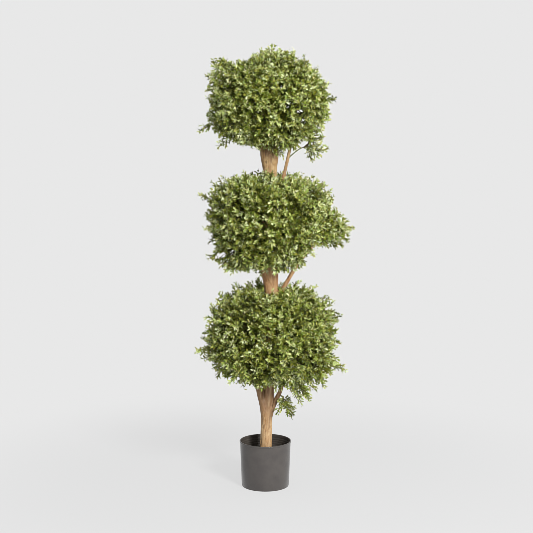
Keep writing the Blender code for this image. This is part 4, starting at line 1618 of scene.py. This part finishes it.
@dataclass
class Ball:
    """A clipped ball of foliage round the trunk."""

    node: str
    centre: Triple
    reaches: tuple[float, ...]  # at even steps from straight down to straight up
    lobes: tuple[Lobe, ...]
    seed: int
    boughs: int
    strays: tuple[Triple, ...]
    sprays: tuple[Triple, ...] = ()  # where shorter fronds hang between the strays
    lanes: tuple[Lane, ...] = ()
    twigs: int = 170
    sprigs_per_twig: int = 9
    inner_sprigs_per_twig: int = 6
    fan: float = 0.25  # radians from a twig's way to its outermost sprig's
    lump: float = 0.05  # how far the surface rises and falls, as a share of the reach
    lump_size: float = 0.36
    shake: float = 0.2
    bunch: float = 0.03  # how far a twig's sprigs all stand out or fall back together
    long_share: float = 0.26  # how many sprigs stand out past the clipped surface
    furthest: float = 1.12
    tuft_overlap: float = 0.008  # how far its sprigs reach in among a tuft's
    curl: float = 0.005  # how far sprigs curl up above the ball's underside, and droop below it
    branching: Branching = Branching()

    def reach(self, ways: Array) -> Array:
        """Measures the ball's outline, as on the solid.

        Args:
            ways: rows of unit directions from its centre.

        Returns:
            How far away the outline lies in each of them.
        """
        rise = np.degrees(np.arcsin(np.clip(ways[:, 2], -1, 1)))
        far = np.interp(rise, np.linspace(-90, 90, len(self.reaches)), self.reaches)
        gain = np.ones(len(ways))
        for lobe in self.lobes:
            middle = np.array(lobe.way) / np.linalg.norm(lobe.way)
            angle = np.arccos(np.clip(ways @ middle, -1, 1))
            gain += lobe.gain * np.exp(-((angle / lobe.width) ** 2))
        return far * gain

    def at(self, ways: Array, share: float | Array) -> Array:
        """The point in each direction at a share of the outline's reach."""
        return np.array(self.centre) + ways * (self.reach(ways) * share)[:, None]

    def lumpy_at(self, ways: Array, share: Array) -> Array:
        """The same, over the soft rise and fall that clipping leaves."""
        lumps = 1 + self.lump * noise_at(ways + self.seed, self.lump_size)
        return np.array(self.centre) + ways * (self.reach(ways) * lumps * share)[:, None]

    def bough_ways(self) -> Array:
        """The solid's seeded rule: directions on a golden spiral, each shaken a little.

        Returns:
            Rows of unit directions.
        """
        rng = random.Random(self.seed)
        shakes = [rng.uniform(-self.shake, self.shake) for _ in range(self.boughs)]
        return normalised(golden_spiral(self.boughs, np.array(shakes)))

    def twig_ways(self, draw: np.random.Generator) -> Array:
        """The same rule for the twigs, shaken in every direction.

        Args:
            draw: the foliage's random draws.

        Returns:
            Rows of unit directions.
        """
        shake = self.branching.twig_shake
        ways = golden_spiral(self.twigs, draw.normal(0, shake, self.twigs))
        return normalised(ways + draw.normal(0, shake * 0.5, (self.twigs, 3)))

    def room(self, tufts: Sequence["Tuft"]) -> Callable[[Array], Array]:
        """Makes the test for a point in this ball's space and out of the tufts'.

        Args:
            tufts: the tufts.

        Returns:
            The test, which takes rows of x, y and z.
        """

        def inside(points: Array) -> Array:
            """Tests points.

            Args:
                points: rows of x, y and z.

            Returns:
                True for each point in the ball's space.
            """
            offset = points - np.array(self.centre)
            far = np.linalg.norm(offset, axis=1)
            fits = far < self.reach(normalised(offset)) * self.furthest
            for stray in (*self.strays, *self.sprays):
                way = np.array(stray) - np.array(self.centre)
                length = np.linalg.norm(way)
                along = offset @ way / np.maximum(far * length, TINY)
                fits |= (along > self.branching.stray_cone) & (far < length * self.branching.stray_end)
            for tuft in tufts:
                fits &= ~tuft.holds(points, -self.tuft_overlap)
            for lane in self.lanes:
                fits &= ~lane.holds(points)
            return fits

        return inside

    def grow(self, foliage: Foliage) -> None:
        """Grows boughs from the trunk, twigs from the boughs and sprigs from the twigs.

        Args:
            foliage: the stock to add to.
        """
        ways = self.bough_ways()
        bough_tips = self.grow_boughs(foliage, ways)
        twig_ways = self.twig_ways(foliage.draw)
        nearest = np.argmax(twig_ways @ ways.T, axis=1)
        starts = bough_tips[nearest]
        ends = self.grow_twigs(foliage, twig_ways, starts, ways[nearest])
        aside = normalised(np.cross(twig_ways, UP) + NUDGE)
        frames = (twig_ways, aside, np.cross(twig_ways, aside))
        self.grow_sprigs(foliage, frames, starts, ends)
        self.grow_inner_sprigs(foliage, frames, starts, ends)
        for tip in (*self.strays, *self.sprays):
            self.grow_stray(foliage, np.array(tip))

    def grow_boughs(self, foliage: Foliage, ways: Array) -> Array:
        """Grows the boughs from the trunk.

        Args:
            foliage: the stock to add to.
            ways: the direction of each bough's tip from the ball's middle.

        Returns:
            The boughs' tips.
        """
        habit, limbs = self.branching, foliage.limbs
        ends = limbs.pushed_out(self.at(ways, habit.bough_share), habit.bough_clear)
        low = self.centre[2] * (1 - habit.root_share) - habit.root_drop
        roots, radii, _ = trunk_at(ends[:, 2] * habit.root_share + low)
        outward = normalised(np.column_stack([ways[:, :2], np.zeros(len(ways))]))
        roots = roots + outward * (radii * habit.root_depth)[:, None]
        arcs = Arcs(roots, (roots + ends) / 2 + UP * habit.bough_rise, ends)
        foliage.twigs.bear(arcs, habit.twig_rings, *habit.bough_radii)
        return ends

    def grow_twigs(self, foliage: Foliage, ways: Array, starts: Array, bearer_ways: Array) -> Array:
        """Grows the twigs that bear the sprigs.

        Args:
            foliage: the stock to add to.
            ways: the direction of each twig's tip from the ball's middle.
            starts: the tip of the bough that bears it.
            bearer_ways: that bough's direction.

        Returns:
            The twigs' tips.
        """
        habit, limbs = self.branching, foliage.limbs
        share = habit.twig_share + foliage.draw.uniform(*habit.twig_share_shake, self.twigs)
        ends = limbs.pushed_out(self.lumpy_at(ways, share), habit.twig_clear)
        bends = starts + (ends - starts) * 0.5 + bearer_ways * habit.twig_bow
        arcs = Arcs(starts, limbs.pushed_out(bends, habit.twig_clear), ends)
        foliage.twigs.bear(arcs, habit.twig_rings, *habit.twig_radii)
        return ends

    def grow_sprigs(
        self, foliage: Foliage, frames: tuple[Array, Array, Array], starts: Array, ends: Array
    ) -> None:
        """Grows the outer sprigs, which fan out from the twigs to the clipped surface.

        Args:
            foliage: the stock to add to.
            frames: each twig's direction and two more square to it.
            starts: where the twigs start.
            ends: where the twigs end.
        """
        habit, draw, count = self.branching, foliage.draw, self.twigs
        twig_ways, aside, beside = frames
        bunches = np.clip(draw.normal(0, self.bunch, count), -2 * self.bunch, 2 * self.bunch)
        for sprig in range(self.sprigs_per_twig):
            shake = draw.uniform(-habit.sprig_turn_shake, habit.sprig_turn_shake, count)
            turn = GOLDEN_ANGLE * sprig + shake + twig_ways[:, 0] * habit.sprig_turn
            spread = self.fan * math.sqrt(sprig / (self.sprigs_per_twig - 1))
            spread = spread * draw.uniform(*habit.fan_shake, count)
            tip_ways = normalised(twig_ways + turned(aside, beside, turn) * np.tan(spread)[:, None])
            longer = (draw.random(count) < self.long_share) * draw.uniform(*habit.longer, count)
            over = draw.uniform(-habit.clipped, 0.0, count) + longer + bunches
            tips = self.lumpy_at(tip_ways, 1 + over)
            back = draw.uniform(0.0, habit.furthest_back, count)[:, None]
            roots = ends * (1 - back) + starts * back
            sway = draw.normal(0, habit.sprig_sway, (count, 3))
            middle = (roots + tips) / 2 + twig_ways * habit.sprig_bow + sway
            curl = np.clip(habit.curl_slope * (tip_ways[:, 2] + habit.curl_level), -1, 1) * self.curl
            foliage.sprigs(Arcs(roots, middle - UP * curl[:, None], tips))

    def grow_inner_sprigs(
        self, foliage: Foliage, frames: tuple[Array, Array, Array], starts: Array, ends: Array
    ) -> None:
        """Grows short sprigs all along the twigs, which fill the ball behind its surface and keep the deep
        tints as painted shade.

        Args:
            foliage: the stock to add to.
            frames: each twig's direction and two more square to it.
            starts: where the twigs start.
            ends: where the twigs end.
        """
        habit, draw, count = self.branching, foliage.draw, self.twigs
        twig_ways, aside, beside = frames
        for sprig in range(self.inner_sprigs_per_twig):
            turn = GOLDEN_ANGLE * sprig * habit.inner_turn + draw.uniform(0, math.tau, count)
            back = (sprig + draw.random(count))[:, None] / self.inner_sprigs_per_twig
            roots = ends * (1 - back) + starts * back
            ways = normalised(twig_ways * habit.inner_lean + turned(aside, beside, turn))
            tips = roots + ways * draw.uniform(*habit.inner_lengths, (count, 1))
            tips = foliage.limbs.pushed_out(tips, habit.inner_clear)
            middle = (roots + tips) / 2 + twig_ways * habit.inner_bow
            foliage.sprigs(Arcs(roots, middle, tips), in_shade=True)

    def grow_stray(self, foliage: Foliage, tip: Array) -> None:
        """Grows one longer twig past the outline, with a few sprigs along it.

        Args:
            foliage: the stock to add to.
            tip: where its last sprig ends.
        """
        habit = self.branching
        way = normalised((tip - np.array(self.centre))[None])
        root = self.at(way, habit.bough_share)[0]
        bend = (root + tip) / 2 + UP * habit.stray_rise
        foliage.frond(
            root, bend, tip, habit.stray_sprigs, habit.stray_sprig_length, habit.stray_first_sprig
        )


@dataclass
class Tuft:
    """A loose tuft on a bough's tip: fronds that fan out from one stem."""

    node: str
    root: Triple
    centre: Triple
    radii: Triple
    seed: int
    tips: tuple[Triple, ...]  # where its longest fronds end
    fillers: int  # shorter fronds among them, spread evenly
    side_sprigs: int
    sprig_length: float
    arch: float = 0.010  # how far a frond bows up on its way to its tip
    first_sprig: float = 0.25  # how far along a frond its first sprig is
    # painted shade: how far its leaves keep to the deep tints, for a tuft that hangs in shade
    painted_shade: float = 0.0
    stem_end: float = 0.2  # how far past the middle the stem ends, as a share of the least radius
    stem_rings: int = 7
    stem_radii: Pair = (0.0019, 0.0012)
    stem_arch: float = 0.8  # as a share of a frond's
    last_frond: float = 0.8  # the furthest along the stem that a frond may start
    frond_start: float = 0.75  # within this of the stem, and less where its tip isn't far ahead:
    full_reach: float = 0.08  # the distance ahead of the root that gives the whole of it
    least_start: float = 0.2  # and the share of it that every frond has
    filler_turn: float = 0.15
    filler_reach: Pair = (0.50, 0.88)
    sway: float = 0.003
    margin: float = 0.005  # how far its leaves may stand out of its space
    root_room: float = 0.030  # and how far round its root they may grow

    def holds(self, points: Array, grown: float = 0.0) -> Array:
        """True for each point in the tuft's space, grown by a distance."""
        offset = (points - np.array(self.centre)) / (np.array(self.radii) + grown)
        return (offset * offset).sum(axis=1) < 1

    def room(self, points: Array) -> Array:
        """True for each point in the tuft's space or near its root."""
        near_root = np.linalg.norm(points - np.array(self.root), axis=1) < self.root_room
        return self.holds(points, self.margin) | near_root

    def grow(self, foliage: Foliage) -> None:
        """Grows the stem, the long fronds to their tips and the shorter ones among them.

        Args:
            foliage: the stock to add to.
        """
        draw = foliage.draw
        root, centre, radii = np.array(self.root), np.array(self.centre), np.array(self.radii)
        way = normalised((centre - root)[None])[0]
        end = centre + way * float(radii.min()) * self.stem_end
        bend = (root + end) / 2 + UP * self.arch * self.stem_arch
        stem = Arcs(root[None], bend[None], end[None])
        foliage.twigs.bear(stem, self.stem_rings, *self.stem_radii)
        around = golden_spiral(self.fillers, draw.normal(0, self.filler_turn, self.fillers))
        shorter = centre + around * radii * draw.uniform(*self.filler_reach, (self.fillers, 1))
        for tip in (*np.array(self.tips), *shorter):
            ahead = min(1.0, float((tip - root) @ way) / self.full_reach + self.least_start)
            share = draw.uniform(0.0, self.frond_start, 1) * ahead
            start = stem.at(np.clip(share, 0.0, self.last_frond))[0]
            middle = start * 0.5 + tip * 0.5 + UP * self.arch + draw.normal(0, self.sway, 3)
            foliage.frond(start, middle, tip, self.side_sprigs, self.sprig_length, self.first_sprig)


BALLS = (
    Ball(
        "lower_ball",
        (0.020, 0.0, 0.518),
        (0.150, 0.162, 0.178, 0.196, 0.232, 0.234, 0.224, 0.225, 0.226, 0.216, 0.203, 0.165, 0.140),
        (
            Lobe((0.82, 0.0, -0.57), 0.20, 0.25),
            Lobe((-0.68, 0.0, -0.73), -0.21, 0.30),
            Lobe((-0.96, 0.0, -0.28), 0.05, 0.20),
            Lobe((-0.96, 0.0, 0.28), -0.04, 0.22),
            Lobe((-0.77, 0.0, 0.64), -0.05, 0.22),
            Lobe((0.98, 0.0, 0.18), 0.04, 0.16),
            Lobe((0.90, 0.0, 0.44), -0.05, 0.20),
        ),
        seed=31,
        boughs=23,
        strays=(
            (-0.236, -0.020, 0.468),
            (0.276, -0.020, 0.404),
            (0.266, 0.040, 0.584),
            (0.154, -0.090, 0.312),
            (0.124, -0.085, 0.302),
            (0.212, 0.060, 0.328),
            (-0.175, 0.050, 0.372),
            (0.060, -0.236, 0.470),
            (-0.040, 0.236, 0.500),
        ),
        sprays=(
            (0.146, -0.070, 0.322),
            (0.136, -0.095, 0.330),
            (0.112, -0.070, 0.320),
            (0.172, -0.040, 0.340),
            (-0.131, -0.163, 0.558),
            (-0.079, -0.200, 0.549),
            (0.112, -0.206, 0.520),
            (0.149, -0.184, 0.493),
        ),
        lanes=(Lane(0.012, 0.680, 0.016, -0.144),),
    ),
    Ball(
        "middle_ball",
        (0.014, 0.0, 0.912),
        (0.150, 0.165, 0.185, 0.200, 0.212, 0.206, 0.212, 0.220, 0.227, 0.206, 0.180, 0.155, 0.135),
        (
            Lobe((0.83, 0.0, -0.56), -0.44, 0.37),
            Lobe((-0.77, 0.0, 0.64), -0.02, 0.30),
            Lobe((0.02, -0.55, 0.83), -0.10, 0.28),
            Lobe((-0.98, 0.0, -0.17), -0.05, 0.20),
            Lobe((-0.56, 0.0, -0.83), 0.09, 0.22),
        ),
        seed=57,
        boughs=21,
        strays=(
            (-0.226, -0.020, 1.004),
            (-0.194, -0.060, 0.790),
            (-0.112, -0.100, 0.748),
            (0.210, 0.080, 0.996),
        ),
        sprays=(
            (-0.150, -0.090, 0.768),
            (-0.132, -0.095, 0.756),
            (-0.172, -0.075, 0.780),
            (-0.098, -0.090, 0.760),
            (-0.091, -0.187, 0.894),
            (-0.004, -0.066, 1.090),
            (0.020, -0.080, 1.084),
            (0.010, -0.092, 1.070),
        ),
        lanes=(Lane(-0.114, 0.806, 0.012, -0.12), Lane(-0.146, 0.796, 0.010, -0.12)),
    ),
    Ball(
        "upper_ball",
        (0.008, 0.0, 1.314),
        (0.150, 0.158, 0.168, 0.186, 0.204, 0.208, 0.202, 0.202, 0.194, 0.185, 0.176, 0.171, 0.170),
        (
            Lobe((-0.47, 0.0, 0.88), -0.20, 0.24),
            Lobe((-0.46, -0.44, 0.77), -0.18, 0.28),
            Lobe((-0.46, 0.44, 0.77), -0.18, 0.28),
            Lobe((-0.19, 0.0, 0.98), 0.05, 0.14),
            Lobe((-0.82, 0.0, 0.57), 0.13, 0.20),
            Lobe((-0.94, 0.0, 0.34), 0.05, 0.18),
            Lobe((-0.74, 0.0, -0.67), -0.14, 0.28),
            Lobe((-1.0, 0.0, 0.0), -0.09, 0.20),
            Lobe((0.96, 0.0, 0.28), -0.04, 0.45),
            Lobe((0.24, -0.30, -0.92), 0.18, 0.20),
        ),
        seed=83,
        boughs=23,
        inner_sprigs_per_twig=7,
        strays=(
            (-0.226, -0.030, 1.212),
            (-0.158, -0.080, 1.158),
            (0.240, 0.020, 1.318),
            (0.022, -0.010, 1.500),
            (-0.160, 0.020, 1.450),
        ),
        sprays=((-0.012, -0.196, 1.306), (-0.020, -0.190, 1.290)),
        lanes=(
            Lane(0.053, 1.362, 0.0085),
            Lane(0.060, 1.346, 0.0060),
            Lane(0.117, 1.278, 0.0120),
            Lane(0.127, 1.246, 0.0115),
            Lane(0.076, 1.292, 0.0090),
        ),
    ),
)

TUFTS = (
    Tuft(
        "lower_hanging_tuft",
        (0.0600, -0.022, 0.314),
        (0.068, -0.027, 0.282),
        (0.038, 0.038, 0.047),
        seed=5,
        tips=(
            (0.1000, -0.028, 0.252),
            (0.0930, -0.034, 0.238),
            (0.0380, -0.034, 0.258),
            (0.0960, -0.018, 0.274),
            (0.0800, -0.044, 0.262),
            (0.0560, -0.030, 0.280),
            (0.0780, -0.026, 0.308),
            (0.0640, -0.034, 0.298),
            (0.0500, -0.034, 0.296),
        ),
        fillers=0,
        side_sprigs=6,
        sprig_length=0.020,
        arch=0.004,
        first_sprig=0.04,
        # painted shade: this tuft hangs in the lower ball's shade, so its leaves keep to the deep tints
        painted_shade=0.40,
    ),
    Tuft(
        "middle_right_tuft",
        (0.1680, -0.010, 0.842),
        (0.217, -0.006, 0.889),
        (0.082, 0.078, 0.074),
        seed=9,
        tips=(
            (0.2970, -0.006, 0.888),
            (0.2840, 0.028, 0.868),
            (0.2800, -0.034, 0.846),
            (0.2580, -0.010, 0.828),
            (0.2400, 0.020, 0.822),
            (0.2700, 0.006, 0.912),
            (0.2480, -0.024, 0.936),
            (0.2320, 0.024, 0.948),
            (0.2140, -0.012, 0.956),
            (0.2720, -0.036, 0.892),
        ),
        fillers=22,
        side_sprigs=6,
        sprig_length=0.036,
    ),
    Tuft(
        "upper_right_spray",
        (0.1150, -0.017, 1.1560),
        (0.160, -0.018, 1.163),
        (0.052, 0.046, 0.054),
        seed=13,
        tips=(
            (0.1550, -0.030, 1.116),
            (0.1840, 0.006, 1.134),
            (0.2030, -0.020, 1.148),
            (0.1980, 0.008, 1.168),
            (0.1940, -0.030, 1.196),
            (0.1720, -0.002, 1.209),
            (0.1520, -0.044, 1.186),
        ),
        fillers=3,
        side_sprigs=4,
        sprig_length=0.026,
    ),
)


# ================================================================ studio
@dataclass(frozen=True)
class SoftBox:
    """A lamp near the plant, turned to face it."""

    name: str
    place: Triple
    size: Pair  # its width and height in metres; a round one has both the same
    power: float  # watts

    def build(self, aim: Triple) -> None:
        """Adds the lamp to the scene.

        Args:
            aim: the point that it faces.
        """
        data = bpy.data.lights.new(self.name, "AREA")
        data.shape = "DISK" if self.size[0] == self.size[1] else "RECTANGLE"
        data.size, data.size_y = self.size
        data.energy = self.power
        lamp = link_object(self.name, data)
        lamp.location = self.place
        away = Vector(self.place) - Vector(aim)
        lamp.rotation_euler = away.to_track_quat("Z", "Y").to_euler()
        lamp.visible_camera = False


@dataclass(frozen=True)
class FarLamp:
    """A lamp so far off that it lights everything from one direction."""

    name: str
    towards: Triple  # the direction from the plant to the lamp
    softness: float  # how wide it looks from the plant, in degrees
    strength: float

    def build(self) -> None:
        """Adds the lamp to the scene."""
        data = bpy.data.lights.new(self.name, "SUN")
        data.angle = math.radians(self.softness)
        data.energy = self.strength
        lamp = link_object(self.name, data)
        lamp.rotation_euler = Vector(self.towards).to_track_quat("Z", "Y").to_euler()


@dataclass
class Studio:
    """A pale sweep, soft lights and the camera."""

    camera_at: Triple = (0.004, -4.2, 1.28)
    camera_pitch: float = 7.0685  # degrees down
    lens: float = 84.65
    sensor: float = 36.0
    pixel_filter: float = 0.65  # narrow, for crisp leaf edges
    # painted light: the paper's glow near the plant, on the wall and on the floor in front
    floor_grey: str = "5c5c5c"
    floor_glow: str = "d0d0d0"
    wall_glow: str = "e8e8e8"
    front_glow: str = "bcbec0"
    near: float = 0.5  # metres from the plant, within which the paper shows its shadows
    far: float = 1.5
    back_line: float = 4.0  # from here forwards the wall's glow goes over to that of the front
    front_line: float = -1.0
    wall_radius: float = 7.0
    wall_top: float = 8.0
    bend_radius: float = 2.0
    bend_steps: int = 12
    segments: int = 128
    aim: Triple = (0.0, 0.0, 0.8)
    soft_boxes: tuple[SoftBox, ...] = (
        SoftBox("key_lamp", (2.15, -4.0, 2.75), (1.3, 1.3), 335.0),
        SoftBox("strip_lamp", (2.15, -3.5, 1.15), (0.4, 1.5), 38.0),
    )
    far_lamps: tuple[FarLamp, ...] = (
        FarLamp("fill_lamp", (-0.45, -1.0, 0.12), 50, 1.2),
        FarLamp("overhead_lamp", (0.1, -0.3, 1.0), 70, 0.55),
    )
    room_glow: str = "f2f4f6"
    room_strength: float = 0.38

    def sweep(self) -> None:
        """Models the floor and backdrop in one round sheet, a disc whose rim bends up into a wall."""
        middle = (self.wall_radius - self.bend_radius, self.bend_radius)
        line = rounded_corner(middle, self.bend_radius, -90, 0, self.bend_steps)
        line.append((self.wall_radius, self.wall_top))
        sheet = drawn_rings("studio_sweep", line, self.segments)
        bpy.ops.object.mode_set(mode="OBJECT")
        sheet.data.materials.append(self.paper())

    def paper(self) -> bpy.types.Material:
        """Paper that glows as painted light, as if lit from behind: it shows shadows near the plant, and
        glows evenly farther off.

        Returns:
            The material.
        """
        made, tree, shader, place = new_material("painted_glow_paper")
        level = {0: place, 1: (1.0, 1.0, 0.0)}
        flat = add_node(tree, "VectorMath", "Vector", level, {"operation": "MULTIPLY"})
        away = add_node(tree, "VectorMath", "Value", {0: flat}, {"operation": "LENGTH"})
        back = add_node(tree, "SeparateXYZ", "Y", {"Vector": place})
        spans = (
            (away, self.near, self.far),
            (away, self.wall_radius - self.bend_radius, self.wall_radius),
            (back, self.back_line, self.front_line),
        )
        fade, wall, front = (
            add_node(
                tree,
                "MapRange",
                "Result",
                {"Value": value, "From Min": low, "From Max": high},
                {"interpolation_type": "SMOOTHSTEP"},
            )
            for value, low, high in spans
        )
        front_wall = add_node(tree, "Math", "Value", {0: wall, 1: front}, {"operation": "MULTIPLY"})
        glows, greys = (
            add_node(tree, "ValToRGB", "Color", {"Fac": fade}, stops=[(0.0, near), (1.0, far)])
            for near, far in ((self.floor_glow, self.wall_glow), (self.floor_grey, "000000"))
        )
        halves = {"Factor": front_wall, FIRST_COLOUR: glows, SECOND_COLOUR: self.front_glow}
        surface = {
            "Base Color": greys,
            "Emission Color": add_node(tree, "Mix", MIXED_COLOUR, halves, RGBA),
            "Emission Strength": 1.0,
            "Roughness": 1.0,
            "Specular IOR Level": 0.0,
        }
        fill_inputs(tree, shader, surface)
        return made

    def build(self) -> None:
        """Sets up the sweep, lamps, world light and camera."""
        self.sweep()
        for box in self.soft_boxes:
            box.build(self.aim)
        for lamp in self.far_lamps:
            lamp.build()
        scene = bpy.context.scene
        scene.world = bpy.data.worlds.new("soft_room")
        scene.world.use_nodes = True
        room = scene.world.node_tree
        glow = {"Color": self.room_glow, "Strength": self.room_strength}
        fill_inputs(room, room.nodes["Background"], glow)
        data = bpy.data.cameras.new("camera")
        data.lens, data.sensor_width = self.lens, self.sensor
        camera = link_object("camera", data)
        camera.location = self.camera_at
        camera.rotation_euler = (math.radians(90 - self.camera_pitch), 0.0, 0.0)
        scene.camera = camera
        scene.view_settings.view_transform = "Standard"
        scene.cycles.filter_width = self.pixel_filter


# ================================================================ assembly
def main() -> None:
    """Builds the studio and every piece of the topiary, in order."""
    logging.basicConfig(level=logging.INFO, format="%(message)s")
    log.info("%d solids to dress", len(frame["nodes"]))
    Studio().build()
    pot = NurseryPot()
    pot.build()
    CementFill(pot).build()
    stems = WoodenFrame()
    stems.build()
    finishes = {tint: MouldedLeaf(tint).build() for tint in Tint}
    bark = TwigSleeve().build()
    stems.side_twigs(bark)
    limbs = LimbSpace()
    plants = [(ball, Foliage(ball.node, ball.seed, limbs, ball.room(TUFTS))) for ball in BALLS]
    plants += [
        (tuft, Foliage(tuft.node, tuft.seed, limbs, tuft.room, tuft.painted_shade)) for tuft in TUFTS
    ]
    for plant, foliage in plants:
        plant.grow(foliage)
        foliage.dress(finishes, bark)


if __name__ == "__main__":
    main()
